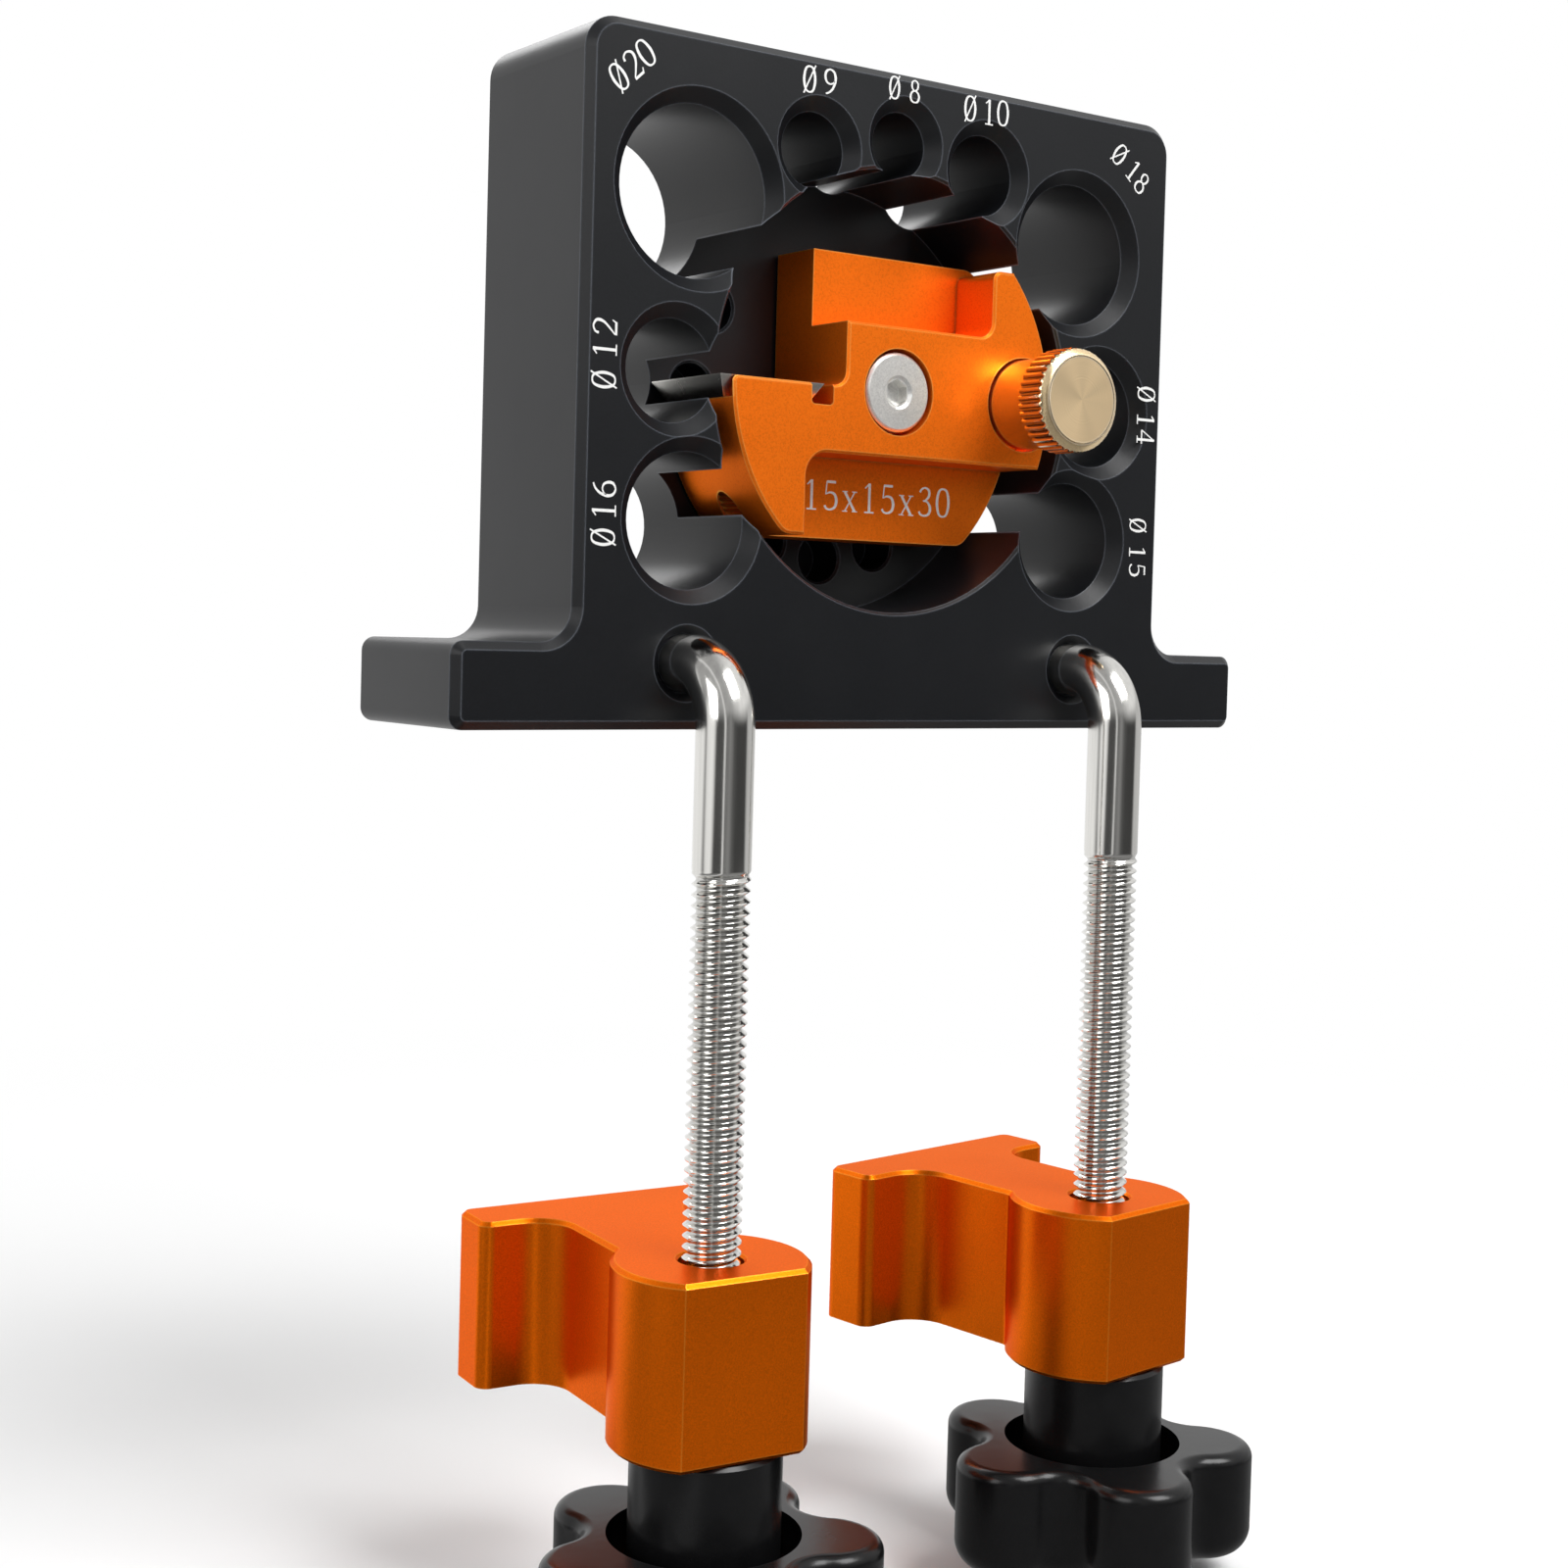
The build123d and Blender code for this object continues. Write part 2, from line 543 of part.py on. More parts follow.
def star_knob(x):
    """A knob with five rounded lobes and a well for the sleeve."""
    centre_r = STAR_TIP_R - STAR_LOBE_R
    half_turn = 180 / STAR_LOBES
    along = centre_r * math.cos(math.radians(half_turn))
    spare = centre_r**2 + STAR_WAIST_R**2 - 2 * STAR_WAIST_R * along - STAR_LOBE_R**2
    hollow_r = spare / (2 * (STAR_LOBE_R + along - STAR_WAIST_R))
    corners = []
    lobes = []
    hollows = []
    for lobe in range(STAR_LOBES):
        angle = STAR_FIRST_ANGLE + 2 * half_turn * lobe
        lobe_centre = Vector(centre_r, 0).rotate(Axis.Z, angle)
        hollow_centre = Vector(STAR_WAIST_R + hollow_r, 0).rotate(
            Axis.Z, angle + half_turn
        )
        corners += [(lobe_centre.X, lobe_centre.Y), (hollow_centre.X, hollow_centre.Y)]
        lobes.append(Pos(lobe_centre) * Circle(STAR_LOBE_R))
        hollows.append(Pos(hollow_centre) * Circle(hollow_r))
    star = Polygon(*corners, align=None)
    for hollow in hollows:
        star -= hollow
    for lobe in lobes:
        star += lobe
    body = extrude(star, amount=-STAR_HEIGHT)
    body = fillet(body.faces().sort_by(Axis.Z)[-1].edges(), STAR_TOP_EDGE)
    body = fillet(body.faces().sort_by(Axis.Z)[0].edges(), STAR_LOW_EDGE)
    body += bar(0, 0, STAR_HUB_R, -STAR_HEIGHT - STAR_HUB_H, -STAR_HEIGHT)
    body -= bar(0, 0, STAR_RECESS_R, -SLEEVE_SINK, 1)
    body -= bar(0, 0, INSERT_R, -SLEEVE_SINK - INSERT_LENGTH, 0)
    return Pos(x, LEG_Y, STAR_TOP_Z) * body


def knob_insert(x):
    """The threaded insert moulded into the knob."""
    high = STAR_TOP_Z - SLEEVE_SINK
    body = bar(x, LEG_Y, INSERT_R, high - INSERT_LENGTH, high)
    return body - bar(x, LEG_Y, ROD_R + RUN_GAP, high - INSERT_LENGTH - 1, high + 1)


pieces = {
    "jig_body": plate,
    "blade_holder": holder,
    "carbide_blade": blade,
    "blade_screw": blade_screw,
    "pivot_screw": pivot_screw,
    "index_knob": index_knob,
    "index_pin": index_pin,
}
for name, side, turn in (("left", -1, LEFT_CLAMP_TURN), ("right", 1, RIGHT_CLAMP_TURN)):
    pieces["hook_rod_" + name] = hook_rod(side * ROD_X)
    pieces["clamp_block_" + name] = clamp_block(side * ROD_X, turn)
    pieces["knob_sleeve_" + name] = knob_sleeve(side * ROD_X)
    pieces["star_knob_" + name] = star_knob(side * ROD_X)
    pieces["knob_insert_" + name] = knob_insert(side * ROD_X)

os.makedirs("parts", exist_ok=True)
for name, shape in pieces.items():
    export_step(shape, "parts/" + name + ".step")
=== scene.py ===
# %% [markdown]
# # A dowel plate, dressed in Blender
# The real object is a thick black anodised plate with nine numbered bores round a pocket.
# An orange holder turns in the pocket and carries a square carbide blade. Two steel hook
# rods reach down to orange clamp blocks, which star knobs draw up to hold the plate down.
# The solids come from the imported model. This file adds the camera, the light, the finishes
# and the fine detail: threads, knurling and the engraved numbers.

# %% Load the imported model
import math

import bmesh
import bpy
from mathutils import Matrix, Vector


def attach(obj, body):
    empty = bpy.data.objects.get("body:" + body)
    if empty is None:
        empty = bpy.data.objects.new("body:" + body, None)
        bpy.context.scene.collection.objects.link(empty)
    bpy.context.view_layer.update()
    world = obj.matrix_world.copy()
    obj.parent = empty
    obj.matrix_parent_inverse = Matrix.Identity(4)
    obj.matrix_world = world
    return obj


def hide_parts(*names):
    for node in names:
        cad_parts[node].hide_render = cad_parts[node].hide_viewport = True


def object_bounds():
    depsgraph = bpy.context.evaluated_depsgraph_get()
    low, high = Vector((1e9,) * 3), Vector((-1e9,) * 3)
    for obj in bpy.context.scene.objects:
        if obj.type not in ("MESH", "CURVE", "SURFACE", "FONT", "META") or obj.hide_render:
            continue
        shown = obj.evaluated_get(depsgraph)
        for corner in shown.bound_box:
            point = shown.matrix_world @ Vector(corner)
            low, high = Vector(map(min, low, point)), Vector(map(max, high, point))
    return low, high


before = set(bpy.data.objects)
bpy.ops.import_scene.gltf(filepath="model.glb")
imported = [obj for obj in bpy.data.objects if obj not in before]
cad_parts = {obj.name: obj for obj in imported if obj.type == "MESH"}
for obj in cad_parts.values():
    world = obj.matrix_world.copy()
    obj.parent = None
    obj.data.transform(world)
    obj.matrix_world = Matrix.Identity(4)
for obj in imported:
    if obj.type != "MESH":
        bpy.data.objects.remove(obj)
cad_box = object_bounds()
MM = 0.001

# %% [markdown]
# ## The camera
# The photograph was taken from low on the left, a little above the base of the plate. Its
# place and lens were worked out from the plate's own corners and bores, so the drawing
# and the photograph can be laid over each other. A small vertical shift keeps the picture's
# centre where the photograph has it.

# %% Camera
CAMERA_PLACE = Vector((-176.35, -235.98, 12.13)) * MM
AZIMUTH = math.radians(35.591)
ELEVATION = math.radians(-1.927)
ROLL = math.radians(1.594)
LENS = 53.18
SHIFT_Y = -0.05


def camera_turn(azimuth, elevation, roll):
    """The camera's three axes as a turn: right, up and back."""
    ahead = Vector((math.sin(azimuth) * math.cos(elevation),
                    math.cos(azimuth) * math.cos(elevation), math.sin(elevation)))
    level = Vector((math.cos(azimuth), -math.sin(azimuth), 0))
    rise = level.cross(ahead)
    right = math.cos(roll) * level + math.sin(roll) * rise
    up = math.cos(roll) * rise - math.sin(roll) * level
    return Matrix((right, up, -ahead)).transposed()


camera = bpy.data.objects.new("camera", bpy.data.cameras.new("camera"))
bpy.context.scene.collection.objects.link(camera)
camera.data.lens = LENS
camera.data.shift_y = SHIFT_Y
camera.data.clip_start, camera.data.clip_end = 0.01, 20
turn = camera_turn(AZIMUTH, ELEVATION, ROLL).to_4x4()
camera.matrix_world = Matrix.Translation(CAMERA_PLACE) @ turn
bpy.context.scene.camera = camera
bpy.context.scene.view_settings.view_transform = "Standard"
print("camera", [round(c, 3) for c in camera.location], "lens", LENS)

# %% [markdown]
# ## Small helpers for shader trees
# Every finish below is a tree of nodes. These three helpers place a node, wire two sockets
# and start a shared group, so that each finish reads as a short list of steps.

# %% Shader helpers
def add(tree, kind, **settings):
    """A new node, with its settings and its unlinked inputs filled in."""
    node = tree.nodes.new(kind)
    for name, value in settings.items():
        if hasattr(node, name):
            setattr(node, name, value)
        else:
            node.inputs[name.replace("_", " ")].default_value = value
    return node


def wire(tree, source, out, target, into):
    """One link, from a named output to a named input."""
    tree.links.new(source.outputs[out], target.inputs[into])


def new_group(name, inputs, outputs):
    """A shader group with named sockets, and its input and output nodes."""
    tree = bpy.data.node_groups.new(name, "ShaderNodeTree")
    for label, kind, value in inputs:
        socket = tree.interface.new_socket(label, in_out="INPUT", socket_type=kind)
        socket.default_value = value
    for label in outputs:
        tree.interface.new_socket(label, in_out="OUTPUT", socket_type="NodeSocketFloat")
    return tree, tree.nodes.new("NodeGroupInput"), tree.nodes.new("NodeGroupOutput")


FLOAT, VECTOR = "NodeSocketFloat", "NodeSocketVector"
# A Mix node gives its float and colour sockets the same names, so they go by number.
FLOAT_A, FLOAT_B, FLOAT_OUT = 2, 3, 0
COLOUR_A, COLOUR_B, COLOUR_OUT = 6, 7, 2
print("shader helpers ready")

# %% [markdown]
# ## Shared effect: blasted grain
# Anodised parts are bead blasted first, which leaves a fine even tooth that softens every
# reflection. One group gives that tooth as a height, and as a tint the speckle that the
# same tooth shows up close, over a slow drift of shade. The noise is laid out in object
# space, because the solids carry no UVs and never need them.

# %% Blasted grain group
grain, grain_in, grain_out = new_group(
    "Blasted grain", [("Scale", FLOAT, 3500.0)], ["Height", "Tint"])
place = add(grain, "ShaderNodeTexCoord")
tooth = add(grain, "ShaderNodeTexNoise", Detail=3.0, Roughness=0.7)
drift = add(grain, "ShaderNodeTexNoise", Scale=45.0, Detail=2.0)
spread = add(grain, "ShaderNodeMapRange", To_Min=0.88, To_Max=1.12)
wire(grain, place, "Object", tooth, "Vector")
wire(grain, place, "Object", drift, "Vector")
wire(grain, grain_in, "Scale", tooth, "Scale")
wire(grain, drift, "Fac", spread, "Value")
speckle = add(grain, "ShaderNodeMapRange", From_Min=0.3, From_Max=0.7, To_Min=0.84, To_Max=1.16)
shaded = add(grain, "ShaderNodeMath", operation="MULTIPLY")
wire(grain, tooth, "Fac", speckle, "Value")
grain.links.new(spread.outputs["Result"], shaded.inputs[0])
grain.links.new(speckle.outputs["Result"], shaded.inputs[1])
wire(grain, tooth, "Fac", grain_out, "Height")
wire(grain, shaded, "Value", grain_out, "Tint")
print("group", grain.name)

# %% [markdown]
# ## Shared effect: painted edge highlights
# A machined edge is broken by a tiny chamfer, which catches the light as a bright line. It
# is drawn here as a painted highlight: the Bevel node gives the normal that a rounded edge
# would have. Where that leans away from the true normal there is an edge, and the group puts out
# that mask.

# %% Edge group
painted_highlight_group, painted_highlight_in, painted_highlight_out = new_group(
    "Painted edge highlight", [("Radius", FLOAT, 0.0003)], ["Edge"])
soft = add(painted_highlight_group, "ShaderNodeBevel", samples=4)
sharp = add(painted_highlight_group, "ShaderNodeNewGeometry")
lean = add(painted_highlight_group, "ShaderNodeVectorMath", operation="DOT_PRODUCT")
span = add(painted_highlight_group, "ShaderNodeMapRange", From_Min=0.985, From_Max=0.88)
wire(painted_highlight_group, painted_highlight_in, "Radius", soft, "Radius")
painted_highlight_group.links.new(soft.outputs["Normal"], lean.inputs[0])
painted_highlight_group.links.new(sharp.outputs["Normal"], lean.inputs[1])
wire(painted_highlight_group, lean, "Value", span, "Value")
wire(painted_highlight_group, span, "Result", painted_highlight_out, "Edge")
print("group", painted_highlight_group.name)

# %% [markdown]
# ## Shared effect: handling marks
# Metal and glossy plastic that people pick up are never evenly shiny. Large soft patches,
# with finer ones over them, shift the roughness a little.

# %% Handling group
handling, handling_in, handling_out = new_group(
    "Handling marks", [("Base", FLOAT, 0.3), ("Swing", FLOAT, 0.08)], ["Roughness"])
place = add(handling, "ShaderNodeTexCoord")
patches = add(handling, "ShaderNodeTexNoise", Scale=70.0, Detail=5.0, Roughness=0.62)
centred = add(handling, "ShaderNodeMath", operation="SUBTRACT")
centred.inputs[1].default_value = 0.5
swing = add(handling, "ShaderNodeMath", operation="MULTIPLY")
total = add(handling, "ShaderNodeMath", operation="MULTIPLY_ADD", use_clamp=True)
total.inputs[1].default_value = 2.0
wire(handling, place, "Object", patches, "Vector")
handling.links.new(patches.outputs["Fac"], centred.inputs[0])
handling.links.new(centred.outputs[0], swing.inputs[0])
handling.links.new(handling_in.outputs["Swing"], swing.inputs[1])
handling.links.new(swing.outputs[0], total.inputs[0])
handling.links.new(handling_in.outputs["Base"], total.inputs[2])
handling.links.new(total.outputs[0], handling_out.inputs["Roughness"])
print("group", handling.name)

# %% [markdown]
# ## Shared effect: tool lines
# Turning, grinding and drawing all leave fine parallel lines. The group stretches a noise
# along one direction: a large number in Stretch squeezes the noise across that axis, and a
# small one draws it out. Each metal gives its own direction.

# %% Tool line group
lines, lines_in, lines_out = new_group(
    "Tool lines", [("Stretch", VECTOR, (2000.0, 40.0, 2000.0))], ["Height", "Shade"])
place = add(lines, "ShaderNodeTexCoord")
stretch = add(lines, "ShaderNodeVectorMath", operation="MULTIPLY")
scratch = add(lines, "ShaderNodeTexNoise", Scale=1.0, Detail=4.0, Roughness=0.65)
shade = add(lines, "ShaderNodeMapRange", To_Min=0.8, To_Max=1.15)
lines.links.new(place.outputs["Object"], stretch.inputs[0])
lines.links.new(lines_in.outputs["Stretch"], stretch.inputs[1])
lines.links.new(stretch.outputs[0], scratch.inputs["Vector"])
wire(lines, scratch, "Fac", lines_out, "Height")
wire(lines, scratch, "Fac", shade, "Value")
wire(lines, shade, "Result", lines_out, "Shade")
print("group", lines.name)

# %% [markdown]
# ## Effect: a turned face
# A lathe leaves rings round the axis, and its light falls in soft sectors like the hands of
# a clock. The distance from the object's own axis drives the rings, which are relief only,
# so the group needs an object whose origin lies on that axis. The direction from the axis
# drives the sectors, a painted reflection that shades the colour. Only the knob's face uses it.

# %% Turned face group
rings_group, rings_in, rings_out = new_group(
    "Turned face", [("Rings", FLOAT, 5000.0)], ["Height", "Shade"])
place = add(rings_group, "ShaderNodeTexCoord")
flat = add(rings_group, "ShaderNodeVectorMath", operation="MULTIPLY")
flat.inputs[1].default_value = (1, 0, 1)
reach = add(rings_group, "ShaderNodeVectorMath", operation="LENGTH")
ring_count = add(rings_group, "ShaderNodeMath", operation="MULTIPLY")
ring_noise = add(rings_group, "ShaderNodeTexNoise", noise_dimensions="1D", Scale=1.0, Detail=2.0)
aim = add(rings_group, "ShaderNodeVectorMath", operation="NORMALIZE")
sectors = add(rings_group, "ShaderNodeTexNoise", Scale=0.8, Detail=1.0)
painted_sector_sheen = add(rings_group, "ShaderNodeMapRange",
                   From_Min=0.35, From_Max=0.65, To_Min=0.84, To_Max=1.05)
rings_group.links.new(place.outputs["Object"], flat.inputs[0])
rings_group.links.new(flat.outputs[0], reach.inputs[0])
rings_group.links.new(flat.outputs[0], aim.inputs[0])
rings_group.links.new(reach.outputs["Value"], ring_count.inputs[0])
rings_group.links.new(rings_in.outputs["Rings"], ring_count.inputs[1])
rings_group.links.new(ring_count.outputs[0], ring_noise.inputs["W"])
rings_group.links.new(aim.outputs[0], sectors.inputs["Vector"])
wire(rings_group, sectors, "Fac", painted_sector_sheen, "Value")
wire(rings_group, ring_noise, "Fac", rings_out, "Height")
wire(rings_group, painted_sector_sheen, "Result", rings_out, "Shade")
print("group", rings_group.name)

# %% [markdown]
# ## Shared effect: painted shade in corners
# Little light gets into the grooves between knurls and the roots of a thread. Ambient
# occlusion over a short reach finds such places. The group turns it into a painted shade
# that a finish multiplies into its colour.

# %% Dull corner group
corner_shade_group, corner_shade_in, corner_shade_out = new_group(
    "Painted corner shade", [("Reach", FLOAT, 0.0006), ("Darkest", FLOAT, 0.4)], ["Shade"])
hidden = add(corner_shade_group, "ShaderNodeAmbientOcclusion", samples=6, only_local=True)
painted_shade_level = add(corner_shade_group, "ShaderNodeMapRange", From_Min=0.35, From_Max=0.95, To_Max=1.0)
wire(corner_shade_group, corner_shade_in, "Reach", hidden, "Distance")
wire(corner_shade_group, hidden, "AO", painted_shade_level, "Value")
wire(corner_shade_group, corner_shade_in, "Darkest", painted_shade_level, "To Min")
wire(corner_shade_group, painted_shade_level, "Result", corner_shade_out, "Shade")
print("group", corner_shade_group.name)

# %% [markdown]
# ## Building one finish from the shared effects
# A finish is a Principled shader. Its metal share and highlight colour stand on its own
# sockets, its colour and the colour of its painted edge highlight in one small mix, and the
# groups above only vary them.
# The function takes what differs from one metal to the next.

# %% Finish builder
EDGE_RADIUS = 0.0003
TOOTH_HEIGHT = 0.00003


def group_node(tree, group, **values):
    """A shared group placed in a material, with its own values."""
    node = tree.nodes.new("ShaderNodeGroup")
    node.node_tree = group
    for name, value in values.items():
        node.inputs[name].default_value = value
    return node


def finish(name, colour, edge_highlight_colour, metal, rough, swing, bump, texture, painted_shade=1.0, **extra):
    """A material: varied colour, painted highlights on edges, painted shade in grooves, patchy
    gloss, fine relief.
    """
    material = bpy.data.materials.new(name)
    material.use_nodes = True
    tree = material.node_tree
    shader = tree.nodes["Principled BSDF"]
    shader.inputs["Metallic"].default_value = metal
    for socket, value in extra.items():
        shader.inputs[socket.replace("_", " ")].default_value = value
    effect, shade_out = texture(tree)
    tinted = add(tree, "ShaderNodeVectorMath", operation="SCALE")
    tinted.inputs[0].default_value = colour
    wire(tree, effect, shade_out, tinted, "Scale")
    # Edges take the second colour as a painted highlight.
    painted_highlight_mask = group_node(tree, painted_highlight_group, Radius=EDGE_RADIUS)
    painted_highlight_mix = add(tree, "ShaderNodeMix", data_type="RGBA")
    tree.links.new(painted_highlight_mask.outputs["Edge"], painted_highlight_mix.inputs["Factor"])
    tree.links.new(tinted.outputs["Vector"], painted_highlight_mix.inputs[COLOUR_A])
    painted_highlight_mix.inputs[COLOUR_B].default_value = (*edge_highlight_colour, 1)
    colour_out = painted_highlight_mix.outputs[COLOUR_OUT]
    # Grooves and corners are darkened here as painted shade.
    if painted_shade < 1:
        corner_shade_node = group_node(tree, corner_shade_group, Darkest=painted_shade)
        shaded = add(tree, "ShaderNodeVectorMath", operation="SCALE")
        tree.links.new(colour_out, shaded.inputs[0])
        wire(tree, corner_shade_node, "Shade", shaded, "Scale")
        colour_out = shaded.outputs["Vector"]
    tree.links.new(colour_out, shader.inputs["Base Color"])
    gloss = group_node(tree, handling, Base=rough, Swing=swing)
    wire(tree, gloss, "Roughness", shader, "Roughness")
    relief = add(tree, "ShaderNodeBump", Strength=bump, Distance=TOOTH_HEIGHT)
    wire(tree, effect, "Height", relief, "Height")
    wire(tree, relief, "Normal", shader, "Normal")
    return material


def blasted(scale):
    """The blasted tooth, as the relief and shade of a finish."""
    return lambda tree: (group_node(tree, grain, Scale=scale), "Tint")


def lined(stretch):
    """Tool lines, as the relief and shade of a finish."""
    return lambda tree: (group_node(tree, lines, Stretch=stretch), "Shade")


def turned(rings):
    """Lathe rings as relief, and sectors as a painted reflection in a finish's colour."""
    return lambda tree: (group_node(tree, rings_group, Rings=rings), "Shade")


print("finish builder ready")

# %% [markdown]
# ## The finishes
# Black anodising is a dyed glassy skin, so it is modelled as a dark non-metal with a satin
# gloss. Orange anodising lets the aluminium shine through its dye, so it is mostly metal,
# and its highlights keep the dye's warmth. The clamp blocks are cut from an extruded bar,
# whose skin is smoother than a milled one, so their orange is glossier. Their orange is also
# set darker than the holder's, as painted shade. Ground carbide, satin stainless, drawn rod
# and turned brass are bare metals that differ in colour, in gloss and in the run of their tool
# lines.

# %% Anodised finishes
# Each finish's second colour is its painted edge highlight; where a finish darkens its grooves
# and corners, that is painted shade.
black = finish("black_anodised", (0.004, 0.0045, 0.0058), (0.1, 0.11, 0.13), 0.0,
               0.36, 0.05, 0.3, blasted(3800.0), Specular_IOR_Level=0.36)
ORANGE_EDGE = (1.0, 0.46, 0.13, 1)
orange = finish("orange_anodised", (0.98, 0.185, 0.009), (1.0, 0.46, 0.1), 0.74,
                0.4, 0.05, 0.5, blasted(4200.0), painted_shade=0.45, Specular_Tint=ORANGE_EDGE)
# The clamps' darker orange is painted shade; their lower roughness is their smoother skin.
shaded_extruded_orange = finish("orange_anodised_extrusion_shaded", (0.82, 0.145, 0.002), (1.0, 0.38, 0.05),
                         0.85, 0.3, 0.05, 0.35, blasted(4600.0), Specular_Tint=ORANGE_EDGE)
print("made", [m.name for m in (black, orange, shaded_extruded_orange)])

# %% Bare metals
carbide = finish("ground_carbide", (0.5, 0.49, 0.46), (0.85, 0.83, 0.78), 1.0,
                 0.26, 0.06, 0.35, lined((300.0, 5200.0, 5200.0)))
stainless = finish("satin_stainless", (0.9, 0.89, 0.86), (0.97, 0.97, 0.95), 1.0,
                   0.4, 0.05, 0.2, blasted(5000.0))
oxide = finish("black_oxide_steel", (0.035, 0.034, 0.033), (0.2, 0.19, 0.18), 0.6,
               0.36, 0.06, 0.2, blasted(4500.0))
steel = finish("polished_steel", (0.74, 0.73, 0.7), (0.84, 0.83, 0.8), 1.0,
               0.14, 0.05, 0.12, lined((1500.0, 1500.0, 60.0)), painted_shade=0.3)
face_brass = finish("turned_brass", (0.95, 0.725, 0.44), (1.0, 0.92, 0.76), 1.0,
                    0.44, 0.04, 0.3, turned(5200.0), painted_shade=0.12)
knurl_brass = finish("polished_brass", (0.95, 0.72, 0.42), (1.0, 0.92, 0.74), 1.0,
                     0.24, 0.05, 0.15, blasted(5000.0), painted_shade=0.12)
insert_brass = finish("bar_brass", (0.86, 0.64, 0.34), (1.0, 0.88, 0.62), 1.0,
                      0.32, 0.05, 0.2, blasted(4800.0))
print("made", [m.name for m in (carbide, stainless, oxide, steel)])
print("made", [m.name for m in (face_brass, knurl_brass, insert_brass)])

# %% [markdown]
# ## Moulded plastic
# The star knobs and sleeves are glossy black plastic. The mould leaves a very slight
# waviness, seen only in the highlights, so the relief is slow and shallow rather than fine.

# %% Plastic
plastic = finish("glossy_black_plastic", (0.0045, 0.0045, 0.0048), (0.012, 0.012, 0.013), 0.0,
                 0.25, 0.07, 0.6, blasted(420.0), Specular_IOR_Level=0.26)
print("made", plastic.name)

# %% Dress the solids
FINISH_OF = {
    "jig_body": black,
    "blade_holder": orange,
    "carbide_blade": carbide,
    "blade_screw": oxide,
    "pivot_screw": stainless,
    "index_pin": steel,
    "clamp_block_left": shaded_extruded_orange,
    "clamp_block_right": shaded_extruded_orange,
    "knob_sleeve_left": plastic,
    "knob_sleeve_right": plastic,
    "star_knob_left": plastic,
    "star_knob_right": plastic,
    "knob_insert_left": insert_brass,
    "knob_insert_right": insert_brass,
}
for node, material in FINISH_OF.items():
    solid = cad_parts[node]
    solid.data.materials.clear()
    solid.data.materials.append(material)
print("dressed", len(FINISH_OF), "solids")

# %% [markdown]
# ## From numbers to a piece
# The fine pieces are made point by point. This helper turns a list of points and faces into
# an object in metres, shades it smooth, and hangs it on the body that carries it.

# %% Piece helper
def piece(name, points, faces, material, body, place=(0, 0, 0), sharp=None):
    """A mesh piece from points in millimetres about a place, riding on a body."""
    mesh = bpy.data.meshes.new(name)
    mesh.from_pydata([Vector(p) * MM for p in points], [], faces)
    mesh.materials.append(material)
    mesh.shade_smooth()
    if sharp is not None:
        mesh.set_sharp_from_angle(angle=math.radians(sharp))
    made = bpy.data.objects.new(name, mesh)
    made.location = Vector(place) * MM
    bpy.context.scene.collection.objects.link(made)
    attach(made, body)
    return made


def skin(rings, close_ends=True):
    """Quads between rings of equal length, and one face over each open end."""
    count = len(rings[0])
    points = [p for ring in rings for p in ring]
    faces = []
    for ring in range(len(rings) - 1):
        low, high = ring * count, (ring + 1) * count
        for step in range(count):
            after = (step + 1) % count
            faces.append((low + step, low + after, high + after, high + step))
    if close_ends:
        faces.append(tuple(reversed(range(count))))
        faces.append(tuple(range(len(points) - count, len(points))))
    return points, faces


print("piece helpers ready")

# %% [markdown]
# ## The hook rods
# Each rod is a drawn steel bar, bent through a right angle and rolled with a thread over
# most of its long leg. Rolling lifts the crests back to the bar's own diameter, so the
# thread doesn't step in. A ring of points is swept along the bar, and below the thread's
# start each ring's radius follows a helix.

# %% Rod sizes
ROD_X, ROD_Z, ROD_R = 30.0, 7.7, 3.4
FRONT = -12.0
LEG_Y = -20.3
BEND_R = 7.0
LEG_IN_PLATE = 14.0
ROD_END_Z = -106.0
THREAD_START_Z = -15.3
END_BEVEL = 0.7
BEND_STEPS = 24
PITCH = 1.25
THREAD_DEPTH = 0.62
ROOT_WIDTH, CREST_WIDTH = 1.45, 0.12
RINGS_A_TURN = 10
RUN_IN_TURNS = 1.1
AROUND = 48


def thread_wave(turns):
    """How deep the groove is at a share of a turn: 0 on the crest, 1 in the root."""
    share = turns % 1.0
    slope = abs(2 * share - 1)
    return min(1.0, max(0.0, (1 - slope) * ROOT_WIDTH - CREST_WIDTH))


print("thread of pitch", PITCH, "and depth", THREAD_DEPTH)

